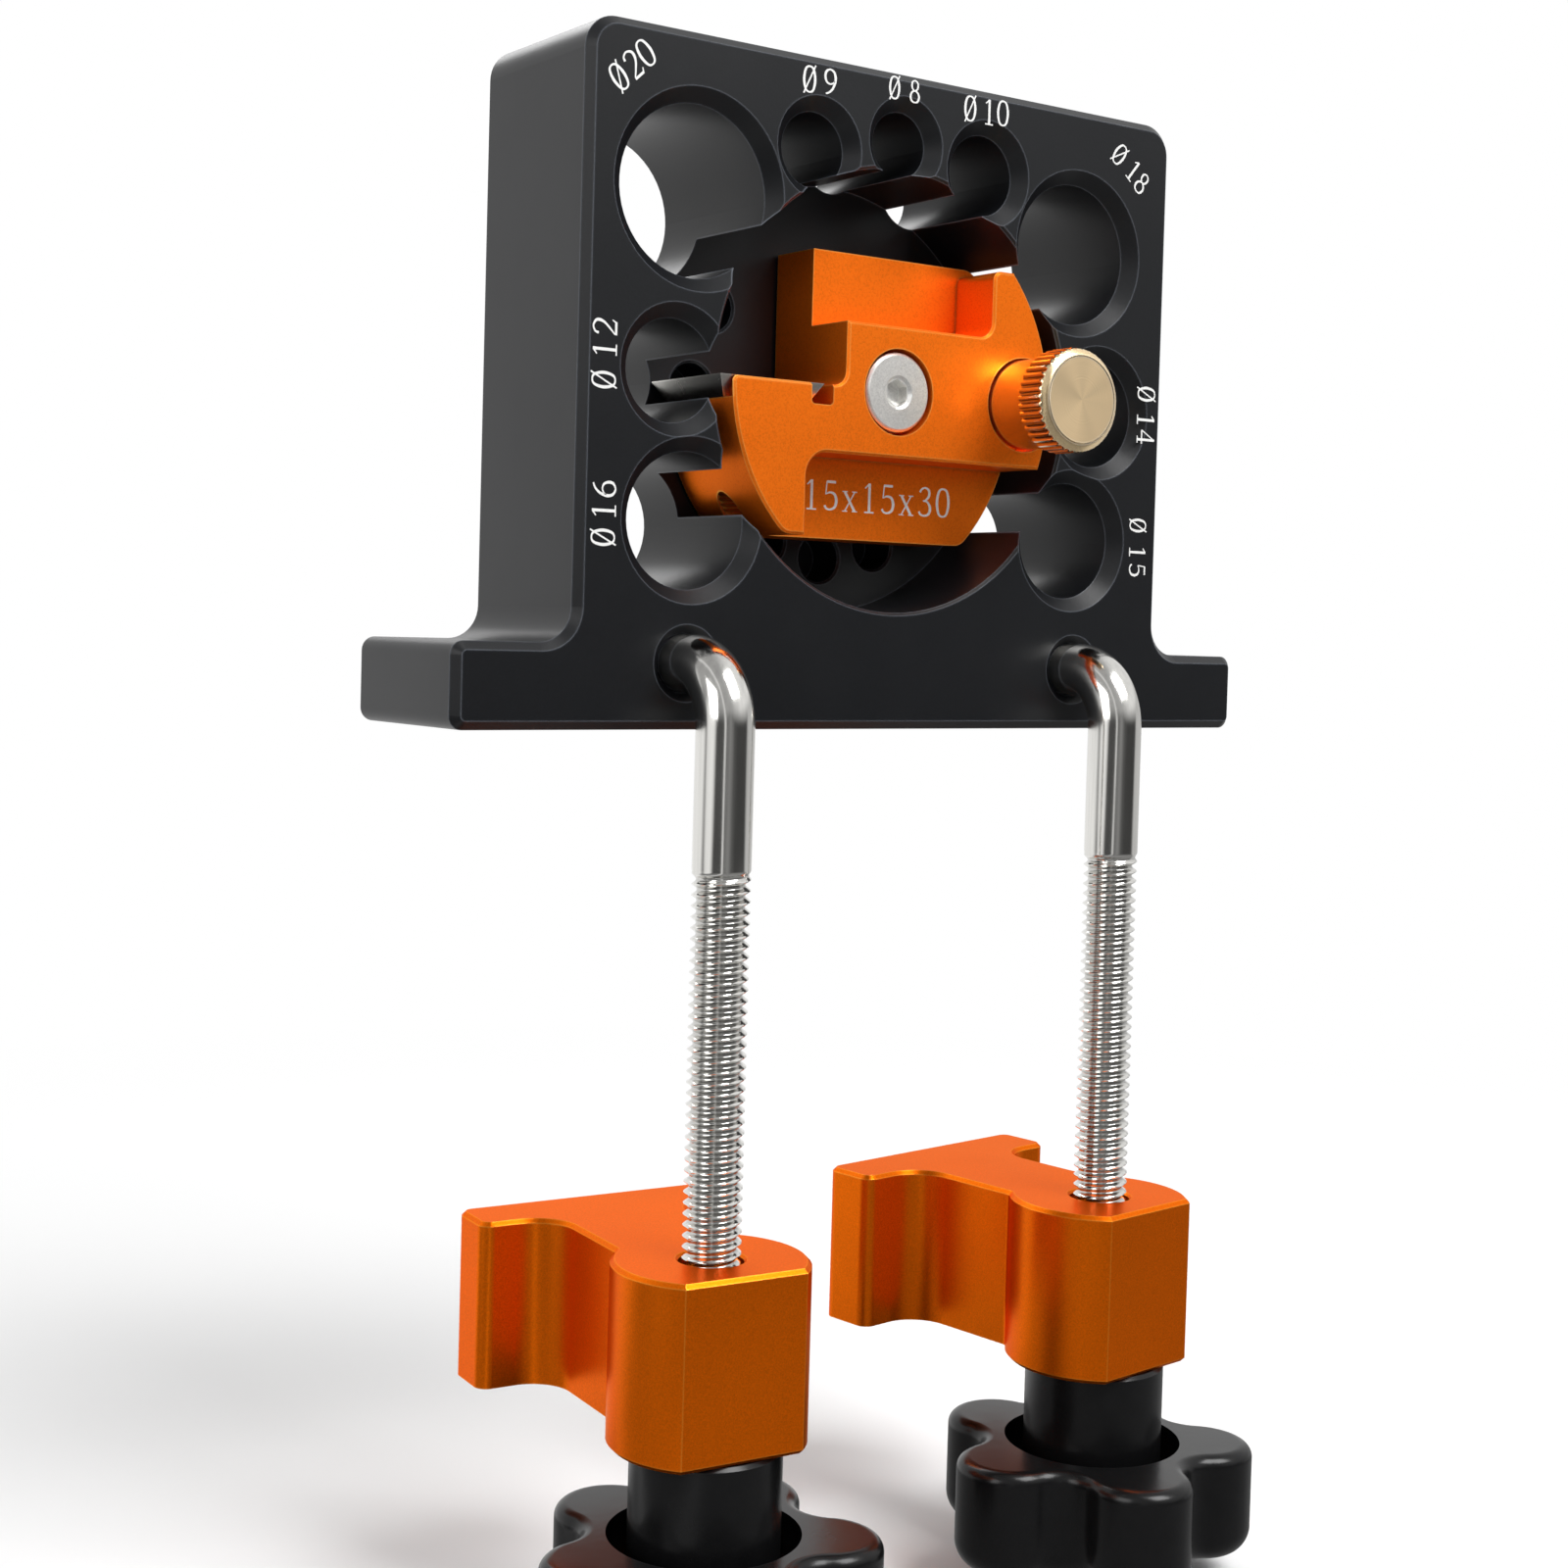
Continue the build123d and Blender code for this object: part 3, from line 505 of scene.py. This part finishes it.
# %% Sweep a rod
def rod_rings(x):
    """Rings of points along the bar, from its end in the plate to its lower tip."""
    rings = []
    bend_y, bend_z = LEG_Y + BEND_R, ROD_Z - BEND_R
    stations = []
    hidden_end = FRONT + LEG_IN_PLATE
    for y, r in ((hidden_end, ROD_R - END_BEVEL), (hidden_end - END_BEVEL, ROD_R),
                 (FRONT, ROD_R), (bend_y, ROD_R)):
        stations.append(((y, ROD_Z), 0.0, r))
    for step in range(1, BEND_STEPS + 1):
        angle = math.pi / 2 * step / BEND_STEPS
        y = bend_y - BEND_R * math.sin(angle)
        z = bend_z + BEND_R * math.cos(angle)
        stations.append(((y, z), angle, ROD_R))
    for (y, z), angle, radius in stations:
        ring = []
        for step in range(AROUND):
            a = 2 * math.pi * step / AROUND
            across, out = radius * math.cos(a), radius * math.sin(a)
            ring.append((x + across, y - out * math.sin(angle), z + out * math.cos(angle)))
        rings.append(ring)
    count = int((THREAD_START_Z - ROD_END_Z) / PITCH * RINGS_A_TURN)
    for station in range(count + 1):
        z = THREAD_START_Z - station * PITCH / RINGS_A_TURN
        grown = min(1.0, station / RINGS_A_TURN / RUN_IN_TURNS) * THREAD_DEPTH
        tip = max(0.0, END_BEVEL - (z - ROD_END_Z))
        ring = []
        for step in range(AROUND):
            a = 2 * math.pi * step / AROUND
            turns = z / PITCH + step / AROUND
            radius = min(ROD_R - grown * thread_wave(turns), ROD_R - tip)
            ring.append((x + radius * math.cos(a), LEG_Y - radius * math.sin(a), z))
        rings.append(ring)
    return rings


for side, x in (("left", -ROD_X), ("right", ROD_X)):
    points, faces = skin(rod_rings(x))
    rod = piece("threaded_rod_" + side, points, faces, steel, "rod_" + side, sharp=50)
    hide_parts("hook_rod_" + side)
    print(rod.name, len(faces), "faces")

# %% [markdown]
# ## The index knob
# The knob is turned from brass bar. Its grip has straight knurls, pressed in by a wheel, a
# bright bevel in front, and a fine groove round the face. A profile is spun round the
# knob's own axis. Wherever it stands out past what the knurling wheel leaves, the wheel's
# radius is taken, so the knurls run out over the bevel as real ones do. The face keeps its
# lathe rings and looks satin. The sides were pressed and polished, so they mirror the
# orange beside them, and get a glossier brass of their own.

# %% Knob sizes
KNOB_X, KNOB_Z = 20.2, 41.3
KNOB_R, BARREL_R = 6.5, 5.65
KNOB_FACE = -22.9
KNURLS, KNURL_DEPTH = 40, 0.5
STEPS_A_KNURL = 8
KNOB_STEPS = KNURLS * STEPS_A_KNURL
GROOVE_WIDTH, GROOVE_SLOPE = 1.55, 2.4
RUN_OUT_START, RUN_OUT_LENGTH, LEAST_CUT = 0.45, 0.8, 0.2
SIDE_START = 0.13
PROFILE = (
    (5.3, 0.0), (5.37, 0.12), (5.46, 0.12), (5.52, 0.02), (5.62, 0.03), (5.9, 0.24),
    (6.15, 0.44), (6.34, 0.62), (6.46, 0.82), (KNOB_R, 1.0), (KNOB_R, 1.3),
    (KNOB_R, 4.4), (6.4, 4.65), (6.1, 4.8),
)
BARREL_PROFILE = (
    (5.75, 4.8), (BARREL_R, 4.95), (BARREL_R, 11.05), (5.5, 11.2), (2.05, 11.2),
)


def knurl(step, back):
    """The radius that the knurling wheel leaves at a step round the knob."""
    share = (step / STEPS_A_KNURL) % 1.0
    cut = min(1.0, max(0.0, GROOVE_WIDTH - GROOVE_SLOPE * abs(2 * share - 1)))
    run_in = min(1.0, max(LEAST_CUT, (back - RUN_OUT_START) / RUN_OUT_LENGTH))
    return KNOB_R - KNURL_DEPTH * cut * run_in


print("knob with", KNURLS, "knurls")

# %% Spin the knob
def knob_rings():
    """Rings round the knob's axis, measured back from the middle of its face."""
    rings = []
    for radius, back in PROFILE + BARREL_PROFILE:
        ring = []
        for step in range(KNOB_STEPS):
            a = 2 * math.pi * step / KNOB_STEPS
            r = min(radius, knurl(step, back))
            ring.append((r * math.cos(a), back, r * math.sin(a)))
        rings.append(ring)
    return rings


points, faces = skin(knob_rings())
knob = piece("knurled_knob", points, faces, face_brass, "index_knob",
             place=(KNOB_X, KNOB_FACE, KNOB_Z), sharp=35)
knob.data.materials.append(knurl_brass)
for polygon in knob.data.polygons:
    polygon.material_index = int(polygon.center.y > SIDE_START * MM)
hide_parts("index_knob")
print(knob.name, len(faces), "faces")

# %% [markdown]
# ## The tapped hole under the blade
# The blade's screw goes right down into the holder, and the end of its tapped hole opens in
# the holder's round side, where the thread's crests catch the light. A short inner sleeve
# with a helix on its bore gives that thread. Its lower edge follows the round side.

# %% Tapped hole
TAP_X, TAP_Y, TAP_R = -18.7, -4.2, 2.04
TAP_PITCH, TAP_DEPTH, TAP_TOP_Z = 0.7, 0.34, 29.2
TAP_WALL, TAP_LIFT, TAP_LEVELS = 0.15, 0.35, 80
HOLDER_R, PIVOT_Z = 24.5, 41.3
HOLDER_LOW_Z = 23.3


def tap_ring(share, inside):
    """One ring of the sleeve, at a share of the way up from the holder's side."""
    ring = []
    for step in range(AROUND):
        a = 2 * math.pi * step / AROUND
        x = TAP_X + TAP_R * math.cos(a)
        side_z = PIVOT_Z - math.sqrt(HOLDER_R**2 - x**2)
        low = max(side_z, HOLDER_LOW_Z) + TAP_LIFT
        z = low + share * (TAP_TOP_Z - low)
        wave = thread_wave(z / TAP_PITCH + step / AROUND)
        radius = TAP_R - TAP_DEPTH * (1 - wave) if inside else TAP_R + TAP_WALL
        ring.append((radius * math.cos(a), radius * math.sin(a), z))
    return ring


rings = [tap_ring(level / TAP_LEVELS, True) for level in range(TAP_LEVELS + 1)]
rings += [tap_ring(1.0, False), tap_ring(0.0, False)]
rings.append(rings[0])
points, faces = skin(rings, close_ends=False)
tapped = piece("tapped_hole_thread", points, faces, orange, "holder",
               place=(TAP_X, TAP_Y, 0), sharp=40)
print(tapped.name, len(faces), "faces")

# %% [markdown]
# ## The engraved numbers
# Each bore is numbered with its diameter, in white serif figures cut by a laser. The
# figures are drawn here as pen strokes: a path of points, each with its own pen width, so
# that upright strokes are thick and level ones thin. Heights run from 0 to 1. The strokes
# are written down once, and each label builds its figures from them at its own height.

# %% Figures as pen strokes
ZERO = [(0, .955, .075), (.17, .86, .105), (.245, .5, .13), (.17, .14, .105),
        (0, .045, .075), (-.17, .14, .105), (-.245, .5, .13), (-.17, .86, .105)]
SIX = [(.19, .93, .07), (.02, .85, .085), (-.14, .67, .11), (-.23, .38, .13),
       (-.18, .15, .11), (0, .045, .08), (.18, .13, .11), (.23, .3, .12),
       (.17, .49, .1), (.02, .565, .07), (-.12, .52, .06), (-.2, .42, .05)]
FIVE_BOWL = [(-.19, .53, .05), (-.02, .59, .075), (.16, .53, .11), (.23, .33, .13),
             (.17, .13, .11), (-.02, .045, .075), (-.17, .085, .085), (-.225, .17, .1)]
THREE_TOP = [(-.2, .8, .1), (-.13, .9, .08), (.02, .955, .07), (.17, .87, .11),
             (.18, .7, .12), (.06, .56, .07), (-.07, .52, .055)]
THREE_LOW = [(-.05, .525, .055), (.12, .49, .08), (.235, .31, .13), (.18, .11, .11),
             (0, .04, .075), (-.17, .085, .085), (-.225, .17, .1)]
TWO_BOWL = [(-.215, .74, .11), (-.17, .88, .085), (.01, .955, .08), (.19, .86, .11),
            (.22, .7, .13), (.14, .5, .1), (-.06, .27, .08), (-.23, .1, .06)]
EIGHT_TOP = [(0, .955, .07), (.14, .88, .09), (.165, .74, .11), (.12, .6, .09),
             (0, .53, .08), (-.12, .6, .09), (-.165, .74, .11), (-.14, .88, .09)]
EIGHT_LOW = [(0, .53, .08), (.16, .45, .1), (.225, .28, .12), (.16, .1, .1),
             (0, .045, .07), (-.16, .1, .1), (-.225, .28, .12), (-.16, .45, .1)]
print("curved strokes drawn for", "0 2 3 5 6 8")

# %% Which strokes make each figure
FIGURES = {
    "0": [("loop", ZERO)],
    "Ø": [("loop", ZERO), ("line", [(-.25, -.02, .07), (.26, 1.02, .07)])],
    "1": [("line", [(.02, .03, .125), (.02, .96, .125)]),
          ("line", [(-.16, .8, .05), (.0, .93, .08)]),
          ("line", [(-.17, .03, .06), (.21, .03, .06)])],
    "2": [("path", TWO_BOWL), ("line", [(-.25, .055, .11), (.19, .055, .11)]),
          ("line", [(.17, .06, .07), (.25, .2, .05)])],
    "3": [("path", THREE_TOP), ("path", THREE_LOW)],
    "4": [("line", [(.13, .97, .06), (-.26, .28, .06)]),
          ("line", [(-.27, .27, .085), (.29, .27, .085)]),
          ("line", [(.12, .97, .12), (.12, .03, .12)]),
          ("line", [(-.02, .03, .055), (.26, .03, .055)])],
    "5": [("line", [(-.16, .925, .1), (.2, .925, .1)]),
          ("line", [(-.15, .93, .055), (-.19, .52, .055)]), ("path", FIVE_BOWL)],
    "6": [("path", SIX)],
    "8": [("loop", EIGHT_TOP), ("loop", EIGHT_LOW)],
    "9": [("path", [(-x, 1 - y, w) for x, y, w in SIX])],
    "x": [("line", [(-.2, .64, .115), (.2, .03, .115)]),
          ("line", [(.19, .64, .055), (-.19, .03, .055)]),
          ("line", [(-.3, .65, .04), (-.09, .65, .04)]),
          ("line", [(.09, .65, .04), (.29, .65, .04)]),
          ("line", [(-.3, .025, .04), (-.09, .025, .04)]),
          ("line", [(.09, .025, .04), (.31, .025, .04)])],
}
print(len(FIGURES), "figures")

# %% [markdown]
# ## From strokes to an inlay
# A smooth curve is passed through the points of each stroke, its two sides are set off by
# half the pen's width, and the ribbon is given a little depth. The ribbons of a figure are
# then fused into one closed body, so nothing overlaps.

# %% Draw one stroke
PEN = 0.82


def through(points, closed, fine=6):
    """Points on a smooth curve that passes through the given ones."""
    count = len(points)
    found = []
    spans = count if closed else count - 1
    for span in range(spans):
        ends = [points[(span + k) % count] if closed
                else points[min(max(span + k, 0), count - 1)] for k in (-1, 0, 1, 2)]
        a, b, c, d = (Vector(p) for p in ends)
        for step in range(fine):
            t = step / fine
            found.append(0.5 * (2 * b + (c - a) * t + (2 * a - 5 * b + 4 * c - d) * t**2
                                + (3 * b - a - 3 * c + d) * t**3))
    return found if closed else found + [Vector(points[-1])]


def ribbon(kind, points, height, front, back):
    """A closed strip of the pen's width along a stroke."""
    closed = kind == "loop"
    line = [Vector(p) for p in points] if kind == "line" else through(points, closed)
    rings = []
    for at, here in enumerate(line):
        before = line[at - 1] if at or closed else here
        after = line[(at + 1) % len(line)] if at + 1 < len(line) or closed else here
        along = Vector((after.x - before.x, after.y - before.y)).normalized()
        side = Vector((-along.y, along.x)) * here.z * PEN / 2
        left = ((here.x + side.x) * height, (here.y + side.y) * height)
        right = ((here.x - side.x) * height, (here.y - side.y) * height)
        rings.append([(*left, front), (*right, front), (*right, back), (*left, back)])
    if closed:
        rings.append(rings[0])
    return skin(rings, close_ends=not closed)


print("a stroke of 0 has", len(ribbon("loop", ZERO, 1, 0, 1)[1]), "faces")

# %% Fuse the strokes of a figure
def slab(name, points, faces):
    """A plain object with its faces turned outward and doubled points merged."""
    mesh = bpy.data.meshes.new(name)
    mesh.from_pydata(points, [], faces)
    tidy = bmesh.new()
    tidy.from_mesh(mesh)
    bmesh.ops.remove_doubles(tidy, verts=tidy.verts, dist=1e-6)
    bmesh.ops.recalc_face_normals(tidy, faces=tidy.faces)
    tidy.to_mesh(mesh)
    tidy.free()
    made = bpy.data.objects.new(name, mesh)
    bpy.context.scene.collection.objects.link(made)
    return made


def figure_mesh(sign, height, proud, sunk):
    """One figure as a single closed mesh, upright in X and Y, in millimetres."""
    strokes = [slab("stroke", *ribbon(kind, points, height, proud, -sunk))
               for kind, points in FIGURES[sign]]
    body = strokes[0]
    for other in strokes[1:]:
        fuse = body.modifiers.new("fuse", "BOOLEAN")
        fuse.operation, fuse.solver, fuse.object = "UNION", "EXACT", other
        bpy.context.view_layer.update()
        seen = body.evaluated_get(bpy.context.evaluated_depsgraph_get())
        fused = bpy.data.meshes.new_from_object(seen)
        body.modifiers.clear()
        body.data = fused
    mesh = body.data.copy()
    for stroke in strokes:
        bpy.data.objects.remove(stroke)
    return mesh


print("figure builder ready")

# %% [markdown]
# ## Where the labels stand
# Five labels read upright or tilted along the top, and four run up or down the sides, so
# that each can be read beside its bore. Every label has its turn, its height and a list of
# figures, each with the place of its middle on the plate's face.

# %% White fill
white = finish("white_fill", (0.68, 0.68, 0.67), (0.68, 0.68, 0.67), 0.0,
               0.6, 0.08, 0.3, blasted(6000.0))
PROUD, SUNK = 0.012, 0.05
LABELS = {
    "20": (43, 3.3, [("Ø", -41.1, 73.1), ("2", -39.3, 74.8), ("0", -37.7, 76.3)]),
    "9": (0, 3.3, [("Ø", -14.85, 77.0), ("9", -11.8, 77.1)]),
    "8": (0, 2.9, [("Ø", -2.1, 78.0), ("8", 1.05, 78.0)]),
    "10": (0, 3.3, [("Ø", 9.9, 77.3), ("1", 12.95, 77.35), ("0", 15.25, 77.5)]),
    "18": (-40, 3.2, [("Ø", 35.5, 75.2), ("1", 38.05, 73.5), ("8", 39.6, 72.0)]),
    "12": (90, 3.3, [("Ø", -42.1, 39.3), ("1", -42.1, 42.65), ("2", -42.1, 45.2)]),
    "16": (90, 3.3, [("Ø", -41.7, 21.7), ("1", -41.7, 24.65), ("6", -41.7, 27.15)]),
    "14": (-90, 3.3, [("Ø", 41.75, 44.45), ("1", 41.8, 41.1), ("4", 41.85, 38.8)]),
    "15": (-90, 3.1, [("Ø", 40.95, 27.0), ("1", 41.05, 23.5), ("5", 41.1, 21.1)]),
}
BLADE_MARK = "15x15x30"
print(len(LABELS), "bore labels")

# %% Set the figures into the faces
def engrave(name, body, turn, height, marks, face_y):
    """A label of fused figures, set in a face that looks along -Y."""
    label = bmesh.new()
    for sign, x, z in marks:
        mesh = figure_mesh(sign, height, PROUD, SUNK)
        middle = Matrix.Translation((0, -height / 2, 0))
        tilt = Matrix.Rotation(math.radians(turn), 4, "Z")
        stand = Matrix(((1, 0, 0, x), (0, 0, -1, face_y), (0, 1, 0, z), (0, 0, 0, 1)))
        mesh.transform(Matrix.Scale(MM, 4) @ stand @ tilt @ middle)
        label.from_mesh(mesh)
    mesh = bpy.data.meshes.new(name)
    label.to_mesh(mesh)
    label.free()
    mesh.materials.append(white)
    made = bpy.data.objects.new(name, mesh)
    bpy.context.scene.collection.objects.link(made)
    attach(made, body)
    print(name, len(mesh.polygons), "faces")


for size, (turn, height, marks) in LABELS.items():
    engrave("number_" + size, "plate", turn, height, marks, FRONT)

# %% The blade's mark in the holder
STEP_Y = FRONT + 7.6
MARK_X, MARK_Z = -7.4, 28.72
MARK_STEP, MARK_HEIGHT = 3.0, 3.9
marks = [(sign, MARK_X + MARK_STEP * at, MARK_Z) for at, sign in enumerate(BLADE_MARK)]
engrave("blade_mark", "holder", 0, MARK_HEIGHT, marks, STEP_Y)

# %% [markdown]
# ## The studio
# A plain pale floor and a white surround make the studio. Both are white to the camera, and
# in reflections of what lies behind the object. In front, reflections find the studio's
# unlit half: dark at the horizon, with a few lit strips to the sides, and lighter towards
# the ceiling. Polished and anodised metal looks flat with nothing dark to mirror.

# %% What reflections find
HORIZON = 0.05
CEILING_LEFT, CEILING_RIGHT = 0.42, 0.9
CEILING_LEFT_X, CEILING_RIGHT_X = -0.1, 0.5
CEILING_START, CEILING_FULL = 0.02, 0.34
BACK_START, BACK_FULL = 0.25, 0.55
FRONT_LEVELS = (
    (0.0, 1.0), (0.012, 1.0), (0.04, 0.06), (0.19, 0.08), (0.205, 0.85), (0.235, 0.85),
    (0.25, 0.14), (0.38, 0.28), (0.5, 0.1), (0.62, HORIZON), (0.9, HORIZON),
    (0.95, 0.6), (0.99, 0.6),
)


def studio_level(tree, vector, shelf):
    """How bright a reflection finds the studio, with a least brightness for the floor."""
    parts = add(tree, "ShaderNodeSeparateXYZ")
    behind = add(tree, "ShaderNodeMapRange", From_Min=BACK_START, From_Max=BACK_FULL)
    across = add(tree, "ShaderNodeMapRange", From_Min=-1.0, From_Max=1.0)
    walls = add(tree, "ShaderNodeValToRGB")
    overhead = add(tree, "ShaderNodeMapRange", From_Min=CEILING_LEFT_X,
                   From_Max=CEILING_RIGHT_X, To_Min=CEILING_LEFT, To_Max=CEILING_RIGHT)
    rise = add(tree, "ShaderNodeMapRange", From_Min=CEILING_START, From_Max=CEILING_FULL)
    ceiling = add(tree, "ShaderNodeMath", operation="MULTIPLY")
    tree.links.new(vector, parts.inputs["Vector"])
    wire(tree, parts, "X", across, "Value")
    wire(tree, parts, "X", overhead, "Value")
    wire(tree, parts, "Y", behind, "Value")
    wire(tree, parts, "Z", rise, "Value")
    ramp = walls.color_ramp
    while len(ramp.elements) < len(FRONT_LEVELS):
        ramp.elements.new(1.0)
    for element, (at, level) in zip(ramp.elements, FRONT_LEVELS):
        element.position, element.color = at, (level, level, level, 1)
    wire(tree, across, "Result", walls, "Fac")
    tree.links.new(rise.outputs["Result"], ceiling.inputs[0])
    tree.links.new(overhead.outputs["Result"], ceiling.inputs[1])
    brightest = walls.outputs["Color"]
    for other in (behind.outputs["Result"], ceiling.outputs[0], shelf):
        larger = add(tree, "ShaderNodeMath", operation="MAXIMUM")
        tree.links.new(brightest, larger.inputs[0])
        tree.links.new(other, larger.inputs[1])
        brightest = larger.outputs[0]
    return brightest


print("front of the studio in", len(FRONT_LEVELS), "steps from left to right")

# %% Floor
FLOOR_GAP = 0.0002
FLOOR_Z = cad_box[0].z - FLOOR_GAP
FLOOR_HALF = 3.0
floor_mesh = bpy.data.meshes.new("floor")
floor_mesh.from_pydata([(-FLOOR_HALF, -FLOOR_HALF, FLOOR_Z), (FLOOR_HALF, -FLOOR_HALF, FLOOR_Z),
                        (FLOOR_HALF, FLOOR_HALF, FLOOR_Z), (-FLOOR_HALF, FLOOR_HALF, FLOOR_Z)],
                       [], [(0, 1, 2, 3)])
floor = bpy.data.objects.new("floor", floor_mesh)
bpy.context.scene.collection.objects.link(floor)
print("floor at", round(FLOOR_Z, 4))

# %% Floor material
PAPER, BOUNCED = (0.86, 0.86, 0.86, 1), (0.42, 0.42, 0.42, 1)
FADE_START, FADE_END = 0.14, 0.42
SHELF_START, SHELF_END, SHELF_LEVEL = 0.12, 0.6, 0.3
paper = bpy.data.materials.new("pale_paper")
paper.use_nodes = True
tree = paper.node_tree
matt = tree.nodes["Principled BSDF"]
matt.inputs["Roughness"].default_value = 0.9
path = add(tree, "ShaderNodeLightPath")
bounce = add(tree, "ShaderNodeMix", data_type="RGBA")
bounce.inputs[COLOUR_A].default_value = PAPER
bounce.inputs[COLOUR_B].default_value = BOUNCED
tree.links.new(path.outputs["Is Diffuse Ray"], bounce.inputs["Factor"])
tree.links.new(bounce.outputs[COLOUR_OUT], matt.inputs["Base Color"])
glow = add(tree, "ShaderNodeEmission", Strength=1.0)
where = add(tree, "ShaderNodeNewGeometry")
far = add(tree, "ShaderNodeVectorMath", operation="LENGTH")
fade = add(tree, "ShaderNodeMapRange", From_Min=FADE_START, From_Max=FADE_END)
seen = add(tree, "ShaderNodeMixShader")
tree.links.new(where.outputs["Position"], far.inputs[0])
tree.links.new(far.outputs["Value"], fade.inputs["Value"])
tree.links.new(fade.outputs["Result"], seen.inputs["Fac"])
tree.links.new(matt.outputs["BSDF"], seen.inputs[1])
tree.links.new(glow.outputs["Emission"], seen.inputs[2])
towards = add(tree, "ShaderNodeVectorMath", operation="NORMALIZE")
near = add(tree, "ShaderNodeMapRange", From_Min=SHELF_START, From_Max=SHELF_END,
           To_Min=SHELF_LEVEL, To_Max=HORIZON)
mirrored = add(tree, "ShaderNodeEmission")
tree.links.new(where.outputs["Position"], towards.inputs[0])
tree.links.new(far.outputs["Value"], near.inputs["Value"])
below = studio_level(tree, towards.outputs[0], near.outputs["Result"])
tree.links.new(below, mirrored.inputs["Strength"])
choice = add(tree, "ShaderNodeMixShader")
tree.links.new(path.outputs["Is Glossy Ray"], choice.inputs["Fac"])
tree.links.new(seen.outputs[0], choice.inputs[1])
tree.links.new(mirrored.outputs["Emission"], choice.inputs[2])
tree.links.new(choice.outputs[0], tree.nodes["Material Output"].inputs["Surface"])
floor_mesh.materials.append(paper)
print("floor material", paper.name)

# %% Surround
AMBIENT = 0.4
world = bpy.data.worlds.new("surround")
bpy.context.scene.world = world
world.use_nodes = True
tree = world.node_tree
tree.nodes.clear()
path = add(tree, "ShaderNodeLightPath")
look = add(tree, "ShaderNodeTexCoord")
mirror = add(tree, "ShaderNodeMix", data_type="FLOAT")
shown = add(tree, "ShaderNodeMix", data_type="FLOAT")
straight = add(tree, "ShaderNodeMath", operation="MAXIMUM")
backing = add(tree, "ShaderNodeBackground", Color=(1, 1, 1, 1))
end = add(tree, "ShaderNodeOutputWorld")
tree.links.new(path.outputs["Is Glossy Ray"], mirror.inputs["Factor"])
mirror.inputs[FLOAT_A].default_value = AMBIENT
least = add(tree, "ShaderNodeValue")
least.outputs[0].default_value = HORIZON
reflected = studio_level(tree, look.outputs["Generated"], least.outputs[0])
tree.links.new(reflected, mirror.inputs[FLOAT_B])
tree.links.new(path.outputs["Is Camera Ray"], straight.inputs[0])
tree.links.new(path.outputs["Is Transmission Ray"], straight.inputs[1])
tree.links.new(straight.outputs[0], shown.inputs["Factor"])
tree.links.new(mirror.outputs[FLOAT_OUT], shown.inputs[FLOAT_A])
shown.inputs[FLOAT_B].default_value = 1.0
tree.links.new(shown.outputs[FLOAT_OUT], backing.inputs["Strength"])
wire(tree, backing, "Background", end, "Surface")
print("surround lights at", AMBIENT)

# %% [markdown]
# ## The lamps
# Three large soft lamps light the object. The main one stands high in front, so edges that
# look up catch it and the steps below them stay darker. The two others are a quarter as
# strong: one at the left rakes the plate's side, and one behind lifts the top edges.

# %% Lamps
def soft_lamp(name, place, aim, size, power):
    """A square lamp of a size in metres, looking at a point."""
    data = bpy.data.lights.new(name, "AREA")
    data.shape, data.size, data.energy = "SQUARE", size, power
    lamp = bpy.data.objects.new(name, data)
    bpy.context.scene.collection.objects.link(lamp)
    lamp.location = place
    towards = Vector(aim) - Vector(place)
    lamp.rotation_euler = towards.to_track_quat("-Z", "Y").to_euler()


soft_lamp("front_lamp", (0.2, -0.62, 0.78), (0, 0, 0.04), 0.55, 12.0)
soft_lamp("left_lamp", (-0.9, -0.2, 0.35), (0, 0, 0), 0.5, 3.0)
soft_lamp("back_lamp", (0.1, 0.8, 0.8), (0, 0, 0.03), 0.5, 3.0)
print("three lamps")
